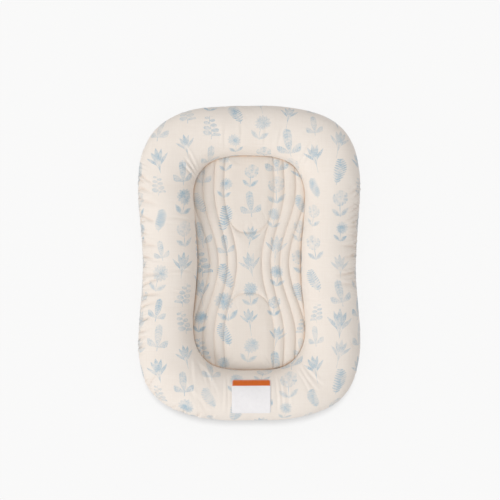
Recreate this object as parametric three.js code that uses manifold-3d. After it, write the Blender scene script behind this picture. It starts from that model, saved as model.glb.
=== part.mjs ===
// Infant lounger: a stuffed ring with a sling across it, in a zipped cotton cover with a quilted pad.
// Millimetres, +Z up, +Y towards the head end. The origin is on the floor under the middle of the lounger.
// From the outside in, the ring is cover cloth, casing cloth and fibre filling. From the top down, the middle
// is the quilted face, its wadding and backing, the sling of the insert, and the cover's underside with its zip.
import * as THREE from "three";
import { mergeVertices } from "three/addons/utils/BufferGeometryUtils.js";
import Module from "manifold-3d";

const wasm = await Module();
wasm.setup();

// The ring as a whole
const ringLength = 681; // head to foot, outside
const ringWidth = 488; // across the sides, before the waist is drawn in
const ringHeight = 100;
const ringWaist = 13; // how far each outer side is drawn in at mid-length
const wellLength = 468; // inside the ring, head to foot
const wellWidth = 256;
const wellWaist = 15.6;
const waistReach = 200; // from mid-length to where both waists have faded out
const floorFlattening = 4; // how far the floor presses up the underside of the stuffed ring
const endPower = 2.9; // superellipse power of both outlines across their ends
const sidePower = 5.5; // and along their sides
const sectionPower = 2.3; // and of the ring's cross-section

// The layers of cloth round the filling
const coverCloth = 1.2;
const casingCloth = 0.8;
const layerGap = 0.4; // between two layers that lie on each other
const seamGap = 0.3; // between two edges that are sewn together

// Heights above the floor where the panels meet
const outerSeamHeight = 42; // the cover's ring top and its underside
const creaseHeight = 35; // the cover's ring top and the pad
const undersideHeight = 14; // the raised middle of the underside
const slingHeight = 18.8; // the lower face of the sling

// The pad, from its backing up
const padOverlapShare = 0.66; // how far the pad runs out into the hollow under the ring's bulge
const slingCloth = 1;
const backingCloth = 1;
const waddingThickness = 9.6;
const faceThickness = 3; // at the stitching, where the face is drawn down
const puffHeight = 6.5; // how far the quilting swells above its stitching
const puffReach = 8; // distance from a line of stitching in which most of the swell is reached

// The quilting: four lines a side, and an oval at each end between the innermost two
const shoulderDistance = 163; // from mid-length to where the lines are furthest apart
const lineEndDraw = 4; // how far the lines are drawn in again at the pad's ends
const lineWaistShares = [0.235, 0.41, 0.587, 0.756]; // of the pad's half-width at its waist
const lineShoulderShares = [0.425, 0.59, 0.782, 0.955]; // of its half-width at the shoulders
const ovalTipDistance = 66; // from mid-length
const ovalWidestDistance = 190;
const ovalPower = 2.8;
const narrowestChannel = 0.6; // between two lines of stitching before they run together

// The stitched binding round the raw edges where the pad meets the ring top
const bindingThickness = 1.2;
const bindingHeight = 6;
const bindingDrop = 2; // from the pad's face to the top of the binding

// The bare care patch on the foot arm
const patchWidth = 83;
const patchLength = 75.5; // over the crown
const patchThickness = 0.6;
const patchSetback = 0.2; // of its middle, from the arm's crown towards the foot
const patchShift = 4.5; // of its middle, to the right of the lounger's
const patchCorner = 4.2;

// The zip: moulded teeth on a cord at the edge of each tape
const toothPitch = 3.6;
const toothCount = 84; // on each tape
const toothNeck = 0.8; // tooth width at its root, along the zip
const toothHead = 1.5; // and at its widest
const toothTip = 1;
const toothReach = 4; // from the cord to the tip
const toothHeadShare = 0.65; // of the reach, where the tooth is widest
const cordInset = 2.2; // from the zip's middle to the cord
const cordWidth = 2.2;
const chainThickness = 2.2;
const tapeWidth = 13.5;
const tapeThickness = 0.6;
const tapeTail = 12; // of each tape, past the stops
const slotMargin = 3.6; // of the cover's slot, past the zip's stops
const slotHalfWidth = 8;
const slotPower = 12;
const stopLength = 3.5;

// The zip's slider and its pull
const sliderLength = 11.5;
const sliderHalfWidth = 5.6;
const sliderNoseHalfWidth = 6.2; // over the two mouths
const sliderPlate = 1;
const sliderClearance = 0.3; // round the cords and tapes that run through it
const dividerLength = 4.4;
const dividerHalfWidth = 1.5;
const dividerSetback = 0.4; // from the nose of the slider
const crownLength = 6.4; // the arch that holds the pull
const crownWidth = 2.4;
const crownRise = 3.6;
const crownWall = 1;
const crownSink = 0.25; // of its feet, into the slider's plate
const pullLength = 22;
const pullWidth = 6.4;
const pullThickness = 1.2;
const pullWindowLength = 3.6;
const pullWindowWidth = 3.4;
const pullEyeRadius = 1.1; // of the hole at its free end
const pullRise = 1.2; // of the middle of its bar, above the slider's plate

// How finely the cloth forms are faceted
const stationsPerQuarter = 11;
const bendCrowding = 150; // length that a radian of turning counts for, in spacing the stations
const halvings = 44; // that find a point of an outline
const arcSteps = 200;
const ovalRows = 8;
const closestRows = 5;
const mergeDistance = 0.001;
const patchSteps = 12;
const patchColumns = 6;
const curveSteps = 4;

const cloth = (color) => new THREE.MeshStandardMaterial({ color, roughness: 0.9, metalness: 0 });
const printedCotton = cloth(0xe9ded2);
const plainCotton = cloth(0xe8e0d5);
const calico = cloth(0xe3d9c6);
const fibre = cloth(0xf4f3f0);
const satin = cloth(0xf3f2f4);
const zipTape = cloth(0xe6ddd0);
const zipPlastic = new THREE.MeshStandardMaterial({ color: 0xe2d8c8, roughness: 0.45, metalness: 0 });
const zipMetal = new THREE.MeshStandardMaterial({ color: 0xd8cfc0, roughness: 0.35, metalness: 0.6 });

const radians = THREE.MathUtils.degToRad;

// A point of the unit superellipse in direction phi. Its radius lies between 1 and the square root of 2, and is
// found by halving.
function squircle(phi, acrossPower, alongPower) {
  const c = Math.cos(phi);
  const s = Math.sin(phi);
  let low = 1;
  let high = Math.SQRT2;
  for (let i = 0; i < halvings; i++) {
    const r = (low + high) / 2;
    if (Math.abs(r * c) ** acrossPower + Math.abs(r * s) ** alongPower < 1) low = r;
    else high = r;
  }
  return new THREE.Vector2(low * c, low * s);
}

// How much of the waist there is at a distance y from mid-length.
function waistAt(y) {
  return Math.cos((Math.PI / 2) * Math.min(1, Math.abs(y) / waistReach)) ** 2;
}

// A point of a waisted outline in direction phi.
function outlinePoint(phi, width, length, waist, acrossPower = endPower, alongPower = sidePower) {
  const p = squircle(phi, acrossPower, alongPower);
  p.x *= width / 2;
  p.y *= length / 2;
  p.x -= Math.sign(p.x) * waist * waistAt(p.y);
  return p;
}

const ringOutline = (phi) => outlinePoint(phi, ringWidth, ringLength, ringWaist);
const wellOutline = (phi) => outlinePoint(phi, wellWidth, wellLength, wellWaist);

// Directions that step along the middle of the ring, a quarter at a time: evenly where it is straight, and
// closer together where it turns.
function stepDirections() {
  const middle = Array.from({ length: arcSteps + 1 }, (_, i) => {
    const phi = (Math.PI / 2) * (i / arcSteps);
    return ringOutline(phi).add(wellOutline(phi)).divideScalar(2);
  });
  const lengths = [0];
  for (let i = 1; i <= arcSteps; i++) {
    const step = middle[i].clone().sub(middle[i - 1]);
    const before = i > 1 ? middle[i - 1].clone().sub(middle[i - 2]) : step;
    lengths.push(lengths[i - 1] + step.length() + bendCrowding * step.angleTo(before));
  }
  const quarter = [];
  for (let k = 0; k < stationsPerQuarter; k++) {
    const wanted = (lengths[arcSteps] * k) / stationsPerQuarter;
    const i = lengths.findIndex((length, j) => j > 0 && length >= wanted);
    const part = (wanted - lengths[i - 1]) / (lengths[i] - lengths[i - 1]);
    quarter.push(((i - 1 + part) / arcSteps) * (Math.PI / 2));
  }
  const mirrored = quarter.slice(1).reverse().map((phi) => Math.PI - phi);
  const upper = [...quarter, Math.PI / 2, ...mirrored];
  return [...upper, ...upper.map((phi) => phi + Math.PI)];
}
const directions = stepDirections();

// The ring's section: angle 0 faces out of the lounger and 90 degrees up. Depth is measured in from the cover's
// face.
const middleHeight = ringHeight / 2;
const lowerReach = middleHeight + floorFlattening;
const bulge = (x) => Math.sign(x) * Math.abs(x) ** (2 / sectionPower);

function ringPoint(phi, degrees, depth) {
  const outer = ringOutline(phi);
  const inner = wellOutline(phi);
  const across = outer.clone().sub(inner).divideScalar(2);
  const middle = inner.clone().add(across);
  const half = across.length();
  const out = ((half - depth) * bulge(Math.cos(radians(degrees)))) / half;
  const up = bulge(Math.sin(radians(degrees)));
  const rise = up > 0 ? up * (middleHeight - depth) : up * (lowerReach - depth);
  return new THREE.Vector3(
    middle.x + across.x * out,
    middle.y + across.y * out,
    Math.max(depth, middleHeight + rise),
  );
}

// How far round below the horizontal the lower half of the section is at a height.
function dip(height) {
  const share = ((middleHeight - height) / lowerReach) ** (sectionPower / 2);
  return THREE.MathUtils.radToDeg(Math.asin(share));
}

// Angles of the section's corners. Neighbouring layers share them, so that their facets stay parallel.
const outerSeam = -dip(outerSeamHeight);
const crease = 180 + dip(creaseHeight);
const slingSeam = 180 + dip(slingHeight + slingCloth / 2);
const undersideLift = 180 + dip(undersideHeight);
const crownAngles = [outerSeam, 14, 38, 64, 90, 116, 142, 166, crease];
const floorAngles = [undersideLift, 240, 255, 285, 300, 325, 360 + outerSeam];
const casingTopAngles = [...crownAngles, slingSeam];
const casingBottomAngles = [slingSeam, ...floorAngles];

const casingDepth = coverCloth + layerGap;
const fillingDepth = casingDepth + casingCloth + layerGap;

const loopAt = (degrees, depth) => directions.map((phi) => ringPoint(phi, degrees, depth));
const flatLoop = (outline, z) => directions.map((phi) => {
  const p = outline(phi);
  return new THREE.Vector3(p.x, p.y, z);
});

// A closed geometry from points and triangles, with triangles that have shrunk to a line left out.
function closedGeometry(points, triangles) {
  const key = (p) => `${p.x.toFixed(3)},${p.y.toFixed(3)},${p.z.toFixed(3)}`;
  const keys = points.map(key);
  const apart = (a, b) => keys[a] !== keys[b];
  const real = triangles.filter(([a, b, c]) => apart(a, b) && apart(b, c) && apart(a, c));
  const volume = real.reduce((sum, [a, b, c]) =>
    sum + points[a].dot(new THREE.Vector3().crossVectors(points[b], points[c])), 0);
  const outward = volume > 0 ? real : real.map(([a, b, c]) => [a, c, b]);
  const geometry = new THREE.BufferGeometry().setFromPoints(points);
  geometry.setIndex(outward.flat());
  const soup = mergeVertices(geometry);
  soup.computeVertexNormals();
  return soup;
}

// Joins loops of as many points each, and the last one to the first: a band of cloth that runs right round.
function bandGeometry(loops) {
  const size = loops[0].length;
  const triangles = [];
  loops.forEach((_, row) => {
    const next = (row + 1) % loops.length;
    for (let i = 0; i < size; i++) {
      const j = (i + 1) % size;
      triangles.push([row * size + i, row * size + j, next * size + j]);
      triangles.push([row * size + i, next * size + j, next * size + i]);
    }
  });
  return closedGeometry(loops.flat(), triangles);
}

// A band of cloth that follows the ring's section through some angles, between two depths.
function ringShell(angles, depth, thickness) {
  const face = angles.map((degrees) => loopAt(degrees, depth));
  const back = angles.map((degrees) => loopAt(degrees, depth + thickness)).reverse();
  return [...face, ...back];
}

const group = new THREE.Group();
function add(name, geometry, material, parent = group) {
  const mesh = new THREE.Mesh(geometry, material);
  mesh.name = name;
  parent.add(mesh);
  return mesh;
}

// The insert: fibre filling in a calico casing, and the sling that is sewn across the casing's inner seam
const fillingAngles = [...casingTopAngles, ...casingBottomAngles.slice(1, -1)];
add("fibre_filling", bandGeometry(fillingAngles.map((degrees) => loopAt(degrees, fillingDepth))), fibre);

// Two edges that meet at a seam stop half a gap short of it.
const casingRadius = middleHeight - casingDepth;
const halfGap = THREE.MathUtils.radToDeg(seamGap / 2 / casingRadius);
const closeTop = (angles) => [angles[0] + halfGap, ...angles.slice(1, -1), angles.at(-1) - halfGap];
add("casing_top", bandGeometry(ringShell(closeTop(casingTopAngles), casingDepth, casingCloth)), calico);
add("casing_bottom", bandGeometry(ringShell(closeTop(casingBottomAngles), casingDepth, casingCloth)), calico);

// A flat panel of cloth in the middle, cut to an outline.
function panelGeometry(outline, thickness, z) {
  const geometry = new THREE.ExtrudeGeometry(new THREE.Shape(directions.map(outline)), {
    depth: thickness,
    bevelEnabled: false,
  });
  return geometry.translate(0, 0, z);
}
// The casing's wall in plan at the seam, less a gap
const slingOutline = (phi) => {
  const wall = ringPoint(phi, slingSeam, casingDepth);
  const edge = new THREE.Vector2(wall.x, wall.y);
  return edge.addScaledVector(edge.clone().normalize(), -layerGap);
};
add("sling_panel", panelGeometry(slingOutline, slingCloth, slingHeight), calico);

// The quilted pad: plain backing, wadding and a printed face, all cut to one outline. It runs out a little into
// the hollow between the well's silhouette and the casing.
const backingHeight = slingHeight + slingCloth + seamGap;
const waddingHeight = backingHeight + backingCloth + seamGap;
const faceHeight = waddingHeight + waddingThickness + seamGap;
const casingWall = (phi, height) => {
  const wall = ringPoint(phi, 180 + dip(height), casingDepth);
  return new THREE.Vector2(wall.x, wall.y);
};
const padOutline = (phi) =>
  wellOutline(phi).lerp(casingWall(phi, faceHeight + faceThickness), padOverlapShare);
add("pad_backing", panelGeometry(padOutline, backingCloth, backingHeight), plainCotton);
add("pad_wadding", panelGeometry(padOutline, waddingThickness, waddingHeight), fibre);

// The pad's half-width at a distance y from mid-length, along the facets of its outline
const padHalfLength = padOutline(Math.PI / 2).y;
const padSideWidth = padOutline(0).x + wellWaist;
const padCorners = directions.slice(0, stationsPerQuarter + 1).map(padOutline);
function padHalfWidth(y) {
  const place = Math.abs(y);
  const i = padCorners.findIndex((corner, j) => j > 0 && corner.y >= place - mergeDistance);
  if (i < 0) return 0;
  const [low, high] = [padCorners[i - 1], padCorners[i]];
  const along = Math.min(1, (place - low.y) / (high.y - low.y));
  const width = low.x + (high.x - low.x) * along;
  return width < mergeDistance ? 0 : width;
}

// Half the distance between the two quilting lines of a pair: closest at the waist, widest at the shoulders.
function lineHalfWidth(pair, y) {
  const waist = lineWaistShares[pair] * (padSideWidth - wellWaist);
  const shoulder = lineShoulderShares[pair] * padSideWidth;
  const along = Math.min(1, Math.abs(y) / shoulderDistance);
  const spread = (1 - Math.cos(Math.PI * along)) / 2;
  const beyond = Math.max(0, (Math.abs(y) - shoulderDistance) / (padHalfLength - shoulderDistance));
  return Math.min(padHalfWidth(y), waist + (shoulder - waist) * spread - lineEndDraw * beyond ** 2);
}

// Half the oval's width: nothing at its tip, and up to the innermost lines towards the pad's end.
function ovalHalfWidth(y) {
  const short = (ovalWidestDistance - Math.abs(y)) / (ovalWidestDistance - ovalTipDistance);
  const full = lineShoulderShares[0] * padSideWidth;
  const width = full * Math.max(0, 1 - Math.max(0, short) ** ovalPower) ** (1 / ovalPower);
  return Math.min(lineHalfWidth(0, y), width);
}

// Rows across the pad: one at each corner of its outline, and more where the oval's tip turns sharply
function rowDistances() {
  const rows = padCorners.map((corner) => corner.y);
  for (let k = 0; k < ovalRows; k++) {
    const part = 1 - Math.cos((Math.PI / 2) * (k / ovalRows));
    const y = ovalTipDistance + (ovalWidestDistance - ovalTipDistance) * part;
    if (k === 0 || rows.every((row) => Math.abs(row - y) > closestRows)) rows.push(y);
  }
  return rows.sort((a, b) => a - b);
}

// Columns of the pad's right half in one row: every line of stitching, and the crest between each two of them.
// Where two lines have run together, so does the crest between them.
function columnsAt(y) {
  const pairs = lineWaistShares.map((_, pair) => lineHalfWidth(pair, y));
  const lines = [0, ovalHalfWidth(y), ...pairs, padHalfWidth(y)];
  for (let i = lines.length - 2; i > 0; i--) {
    if (lines[i + 1] - lines[i] < narrowestChannel) lines[i] = lines[i + 1];
  }
  return lines.flatMap((x, i) => {
    const sewn = { x, sewn: x > 0 };
    if (i === 0) return [sewn];
    return [{ x: (lines[i - 1] + x) / 2, sewn: lines[i - 1] === x && x > 0 }, sewn];
  });
}

// Points along all the stitching of the pad's first quarter, to measure distances from
function stitchingPoints() {
  const points = [];
  for (let i = 0; i <= arcSteps; i++) {
    const y = (padHalfLength * i) / arcSteps;
    lineWaistShares.forEach((_, pair) => points.push(new THREE.Vector2(lineHalfWidth(pair, y), y)));
    const turn = (Math.PI / 2) * (i / arcSteps);
    const oval = ovalWidestDistance - (ovalWidestDistance - ovalTipDistance) * Math.cos(turn);
    points.push(new THREE.Vector2(ovalHalfWidth(oval), oval));
    const edge = ((padCorners.length - 1) * i) / (arcSteps + 1);
    const corner = Math.floor(edge);
    points.push(padCorners[corner].clone().lerp(padCorners[corner + 1], edge - corner));
  }
  points.push(padCorners.at(-1));
  return points;
}
const stitching = stitchingPoints();

function puffAt(x, y) {
  const here = new THREE.Vector2(Math.abs(x), Math.abs(y));
  const distance = Math.min(...stitching.map((p) => p.distanceTo(here)));
  return puffHeight * (1 - Math.exp(-distance / puffReach));
}

function padFaceGeometry() {
  const half = rowDistances();
  const rows = [...half.slice(1).reverse().map((y) => -y), ...half];
  const points = [];
  const grid = rows.map((y) => {
    const right = columnsAt(y);
    const left = right.slice(1).reverse().map((column) => ({ ...column, x: -column.x }));
    return [...left, ...right].map(({ x, sewn }) => {
      const swell = sewn ? 0 : puffAt(x, y);
      return points.push(new THREE.Vector3(x, y, faceHeight + faceThickness + swell)) - 1;
    });
  });
  const floor = rows.map((y) => [-1, 1].map((side) =>
    points.push(new THREE.Vector3(side * padHalfWidth(y), y, faceHeight)) - 1));
  const triangles = [];
  const quad = (a, b, c, d) => triangles.push([a, b, c], [a, c, d]);
  for (let r = 0; r + 1 < rows.length; r++) {
    const [low, high] = [grid[r], grid[r + 1]];
    for (let i = 0; i + 1 < low.length; i++) quad(low[i], low[i + 1], high[i + 1], high[i]);
    quad(floor[r][1], floor[r][0], floor[r + 1][0], floor[r + 1][1]);
    quad(floor[r][0], low[0], high[0], floor[r + 1][0]);
    quad(low.at(-1), floor[r][1], floor[r + 1][1], high.at(-1));
  }
  return closedGeometry(points, triangles);
}
add("pad_face", padFaceGeometry(), printedCotton);

// The binding stands in the hollow between the pad's edge and the casing.
const bindingTop = faceHeight - bindingDrop;
const besideCasing = (gap) => (phi) => {
  const wall = casingWall(phi, bindingTop);
  return wall.addScaledVector(wall.clone().sub(wellOutline(phi)).normalize(), -gap);
};
const bindingInner = besideCasing(layerGap + bindingThickness);
const bindingOuter = besideCasing(layerGap);
add("seam_binding", bandGeometry([
  flatLoop(bindingInner, bindingTop - bindingHeight),
  flatLoop(bindingInner, bindingTop),
  flatLoop(bindingOuter, bindingTop),
  flatLoop(bindingOuter, bindingTop - bindingHeight),
]), plainCotton);

// The cover's ring top runs from the outer seam over the crown to the crease.
add("cover_ring_top", bandGeometry(ringShell(closeTop(crownAngles), 0, coverCloth)), printedCotton);

// The underside runs from the outer seam under the ring, rises to the raised middle and ends round the zip's
// slot.
const chainLength = toothPitch * toothCount;
const stopPlace = chainLength / 2 + sliderLength / 2 + seamGap;
const slotLength = 2 * (stopPlace + stopLength + slotMargin);
const slotOutline = (phi) => outlinePoint(phi, 2 * slotHalfWidth, slotLength, 0, slotPower, slotPower);
const undersideAngles = [...floorAngles.slice(0, -1), floorAngles.at(-1) - halfGap].reverse();
add("cover_underside", bandGeometry([
  ...undersideAngles.map((degrees) => loopAt(degrees, 0)),
  flatLoop(slotOutline, undersideHeight),
  flatLoop(slotOutline, undersideHeight + coverCloth),
  ...undersideAngles.map((degrees) => loopAt(degrees, coverCloth)).reverse(),
]), plainCotton);

// The bare care patch lies over the crown of the foot arm and follows its cloth.
function patchGeometry() {
  // The place over the foot arm at x and at an angle of its section, found by halving too
  const armPoint = (x, degrees, lift) => {
    let low = -Math.PI / 2;
    let high = -Math.PI / 4;
    for (let i = 0; i < halvings; i++) {
      const phi = (low + high) / 2;
      if (ringPoint(phi, degrees, -lift).x < Math.abs(x)) low = phi;
      else high = phi;
    }
    const p = ringPoint(low, degrees, -lift);
    return new THREE.Vector3(x, p.y, p.z);
  };
  // Angles at even steps along the cloth, out from the middle of the patch
  const fine = Array.from({ length: arcSteps + 1 }, (_, i) => 180 - (180 * i) / arcSteps);
  const places = [0];
  for (let i = 1; i <= arcSteps; i++) {
    places.push(places[i - 1] + armPoint(0, fine[i], 0).distanceTo(armPoint(0, fine[i - 1], 0)));
  }
  const middle = places[arcSteps] / 2 + patchSetback;
  const angleAt = (place) => {
    const beyond = places.findIndex((p) => p >= place);
    const i = beyond < 0 ? arcSteps : Math.max(1, beyond);
    return fine[i - 1] + ((fine[i] - fine[i - 1]) * (place - places[i - 1])) / (places[i] - places[i - 1]);
  };
  const insets = [0, patchCorner / 4, patchCorner];
  const inner = Array.from({ length: patchSteps - 1 }, (_, i) => (patchLength * (i + 1)) / patchSteps);
  const distances = [...insets, ...inner, ...insets.map((inset) => patchLength - inset).reverse()];
  const columns = Array.from({ length: patchColumns + 1 }, (_, i) => (2 * i) / patchColumns - 1);
  const points = distances.flatMap((along) => {
    const fromEnd = Math.min(along, patchLength - along, patchCorner);
    const cut = patchCorner - Math.sqrt(patchCorner ** 2 - (patchCorner - fromEnd) ** 2);
    const half = patchWidth / 2 - cut;
    const degrees = angleAt(middle - patchLength / 2 + along);
    const face = (lift) => columns.map((share) => armPoint(patchShift + share * half, degrees, lift));
    return [...face(layerGap), ...face(layerGap + patchThickness).reverse()];
  });
  const triangles = [];
  const quad = (a, b, c, d) => triangles.push([a, b, c], [a, c, d]);
  const round = 2 * columns.length;
  const last = points.length - round;
  for (let i = 0; i < patchColumns; i++) {
    quad(i, i + 1, round - 2 - i, round - 1 - i);
    quad(last + i + 1, last + i, last + round - 1 - i, last + round - 2 - i);
  }
  for (let row = 0; row < last; row += round) {
    for (let i = 0; i < round; i++) {
      const j = (i + 1) % round;
      quad(row + j, row + i, row + round + i, row + round + j);
    }
  }
  return closedGeometry(points, triangles);
}
add("care_patch", patchGeometry(), satin);

// Manifold solids, for the pieces that are cut or joined
function toManifold(geometry) {
  const bare = geometry.index ? geometry.toNonIndexed() : geometry.clone();
  bare.deleteAttribute("normal");
  bare.deleteAttribute("uv");
  const merged = mergeVertices(bare);
  return new wasm.Manifold(new wasm.Mesh({
    numProp: 3,
    vertProperties: merged.attributes.position.array,
    triVerts: new Uint32Array(merged.index.array),
  }));
}
function toGeometry(manifold) {
  const mesh = manifold.getMesh();
  const geometry = new THREE.BufferGeometry();
  geometry.setAttribute("position", new THREE.BufferAttribute(mesh.vertProperties, 3));
  geometry.setIndex(new THREE.BufferAttribute(mesh.triVerts, 1));
  geometry.computeVertexNormals();
  return geometry;
}

// A rounded rectangle centred on the origin
function roundedRectangle(width, length, radius) {
  const [x, y] = [width / 2, length / 2];
  const shape = new THREE.Shape();
  shape.absarc(x - radius, y - radius, radius, 0, Math.PI / 2);
  shape.absarc(radius - x, y - radius, radius, Math.PI / 2, Math.PI);
  shape.absarc(radius - x, radius - y, radius, Math.PI, (3 * Math.PI) / 2);
  shape.absarc(x - radius, radius - y, radius, (3 * Math.PI) / 2, 2 * Math.PI);
  return shape;
}
function extrude(shape, depth, z = 0) {
  const geometry = new THREE.ExtrudeGeometry(shape, { depth, bevelEnabled: false, curveSegments: curveSteps });
  return geometry.translate(0, 0, z);
}

// The zip's own frame: Y along it, Z out of the lounger, zero on the underside's face. The zip is shut.
const zip = new THREE.Group();
zip.rotation.y = Math.PI;
zip.position.z = undersideHeight;
group.add(zip);

const tapeFace = -coverCloth - seamGap;
const chainMiddle = tapeFace - tapeThickness / 2;
const chainFace = chainMiddle + chainThickness / 2;
const chainBack = chainMiddle - chainThickness / 2;
const cordOuter = cordInset + cordWidth;
const tapeInner = cordOuter + seamGap;
const tapeEnd = stopPlace + stopLength + tapeTail;

// One side of the chain: the cord and the teeth that are moulded on it, half a pitch ahead of the other side's.
function chainShape(side) {
  const end = stopPlace - seamGap;
  const shape = new THREE.Shape();
  shape.moveTo(side * cordOuter, -end);
  shape.lineTo(side * cordInset, -end);
  const head = cordInset - toothReach * toothHeadShare;
  const tip = cordInset - toothReach;
  for (let k = 0; k < toothCount; k++) {
    const y = -chainLength / 2 + toothPitch * (k + 1 / 2 + side / 4);
    shape.lineTo(side * cordInset, y - toothNeck / 2);
    shape.lineTo(side * head, y - toothHead / 2);
    shape.lineTo(side * tip, y - toothTip / 2);
    shape.lineTo(side * tip, y + toothTip / 2);
    shape.lineTo(side * head, y + toothHead / 2);
    shape.lineTo(side * cordInset, y + toothNeck / 2);
  }
  shape.lineTo(side * cordInset, end);
  shape.lineTo(side * cordOuter, end);
  shape.closePath();
  return shape;
}

for (const [side, name] of [[1, "left"], [-1, "right"]]) {
  const tape = new THREE.BoxGeometry(tapeWidth, 2 * tapeEnd, tapeThickness);
  const tapeMesh = add(`zip_tape_${name}`, tape, zipTape, zip);
  tapeMesh.position.set(side * (tapeInner + tapeWidth / 2), 0, chainMiddle);

  add(`zip_teeth_${name}`, extrude(chainShape(side), chainThickness, chainBack), zipPlastic, zip);

  const stop = extrude(roundedRectangle(cordWidth, stopLength, cordWidth / 4), chainThickness, chainBack);
  const stopMesh = add(`zip_top_stop_${name}`, stop, zipMetal, zip);
  stopMesh.position.set(side * (cordInset + cordWidth / 2), stopPlace + stopLength / 2, 0);
}
const bottomShape = roundedRectangle(2 * cordOuter, stopLength, cordWidth / 4);
const bottomStop = extrude(bottomShape, chainThickness, chainBack);
const bottomStopMesh = add("zip_bottom_stop", bottomStop, zipMetal, zip);
bottomStopMesh.position.y = -stopPlace - stopLength / 2;

// The slider: two plates joined by the divider at its nose, rims that hold the cords in, and a crown for the pull
const sliderNose = stopPlace - seamGap;
const slider = new THREE.Group();
slider.position.y = sliderNose;
zip.add(slider);

function sliderOutline() {
  const shape = new THREE.Shape();
  const [nose, tail] = [sliderNoseHalfWidth, sliderHalfWidth];
  shape.moveTo(-tail, -sliderLength);
  shape.lineTo(tail, -sliderLength);
  shape.lineTo(tail, -sliderLength / 2);
  shape.quadraticCurveTo(nose, -sliderLength / 3, nose, -sliderLength / 6);
  shape.quadraticCurveTo(nose, 0, nose / 2, 0);
  shape.lineTo(-nose / 2, 0);
  shape.quadraticCurveTo(-nose, 0, -nose, -sliderLength / 6);
  shape.quadraticCurveTo(-nose, -sliderLength / 3, -tail, -sliderLength / 2);
  return shape;
}

function dividerShape() {
  const point = -dividerSetback - dividerLength;
  const shape = new THREE.Shape();
  shape.moveTo(0, point);
  shape.quadraticCurveTo(dividerHalfWidth, point / 2, dividerHalfWidth, -dividerSetback);
  shape.lineTo(-dividerHalfWidth, -dividerSetback);
  shape.quadraticCurveTo(-dividerHalfWidth, point / 2, 0, point);
  return shape;
}

const plateInner = chainFace + sliderClearance;
const plateOuter = plateInner + sliderPlate;
const rearPlateInner = chainBack - sliderClearance;
const rearPlateOuter = rearPlateInner - sliderPlate;

function sliderGeometry() {
  const overrun = sliderLength;
  const block = toManifold(extrude(sliderOutline(), plateOuter - rearPlateOuter, rearPlateOuter));
  const channelWidth = 2 * (cordOuter + sliderClearance);
  const channelBox = new THREE.BoxGeometry(channelWidth, 2 * overrun + sliderLength, plateInner - rearPlateInner);
  channelBox.translate(0, -sliderLength / 2, (plateInner + rearPlateInner) / 2);
  const divider = toManifold(extrude(dividerShape(), plateOuter - rearPlateOuter, rearPlateOuter));
  const channel = toManifold(channelBox).subtract(divider);
  const tapeSlot = new THREE.BoxGeometry(
    4 * sliderNoseHalfWidth, 2 * overrun + sliderLength, tapeThickness + 2 * sliderClearance);
  tapeSlot.translate(0, -sliderLength / 2, chainMiddle);
  const crown = toManifold(crownGeometry());
  return toGeometry(block.subtract(channel).subtract(toManifold(tapeSlot).subtract(divider)).add(crown));
}

// The crown is an arch along the slider, with the pull's bar under it.
const pivotPlace = -sliderLength / 2;
function crownGeometry() {
  const [foot, top] = [crownLength / 2, crownRise];
  const arch = new THREE.Shape();
  arch.moveTo(-foot, 0);
  arch.lineTo(foot, 0);
  arch.lineTo(foot, top / 2);
  arch.quadraticCurveTo(foot, top, foot - crownWall, top);
  arch.lineTo(crownWall - foot, top);
  arch.quadraticCurveTo(-foot, top, -foot, top / 2);
  const hole = new THREE.Path();
  const [holeFoot, holeTop] = [foot - crownWall, top - crownWall];
  hole.moveTo(-holeFoot, crownSink / 2);
  hole.lineTo(-holeFoot, holeTop);
  hole.lineTo(holeFoot, holeTop);
  hole.lineTo(holeFoot, crownSink / 2);
  arch.holes.push(hole);
  const geometry = extrude(arch, crownWidth);
  const standing = new THREE.Matrix4().makeBasis(
    new THREE.Vector3(0, 1, 0), new THREE.Vector3(0, 0, 1), new THREE.Vector3(1, 0, 0));
  return geometry.applyMatrix4(standing).translate(-crownWidth / 2, pivotPlace, plateOuter - crownSink);
}
add("zip_slider", sliderGeometry(), zipMetal, slider);

// The pull: a tab whose bar runs under the crown. It hangs until its tip is just above what the lounger lies on.
function pullShape() {
  const bar = pullThickness / 2;
  const half = pullWidth / 2;
  const shape = new THREE.Shape();
  shape.moveTo(half, bar);
  shape.lineTo(-half, bar);
  shape.lineTo(-half, half - pullLength);
  shape.quadraticCurveTo(-half, -pullLength, 0, -pullLength);
  shape.quadraticCurveTo(half, -pullLength, half, half - pullLength);
  const window = new THREE.Path();
  const [side, near, far] = [pullWindowWidth / 2, -bar, -bar - pullWindowLength];
  window.moveTo(-side, near);
  window.lineTo(-side, far);
  window.lineTo(side, far);
  window.lineTo(side, near);
  const eye = new THREE.Path();
  eye.absarc(0, half - pullLength, pullEyeRadius, 0, 2 * Math.PI);
  shape.holes.push(window, eye);
  return shape;
}
const pull = add("zip_pull", extrude(pullShape(), pullThickness, -pullThickness / 2), zipMetal, slider);
pull.position.set(0, pivotPlace, plateOuter + pullRise);
const pivotHeight = undersideHeight - pull.position.z;
pull.rotation.x = -Math.asin((pivotHeight - pullThickness / 2 - layerGap) / pullLength);

export default group;
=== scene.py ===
import math

import bmesh
import bpy
import numpy as np
from mathutils import Matrix, Vector, geometry, kdtree, noise
from mathutils.bvhtree import BVHTree


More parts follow.
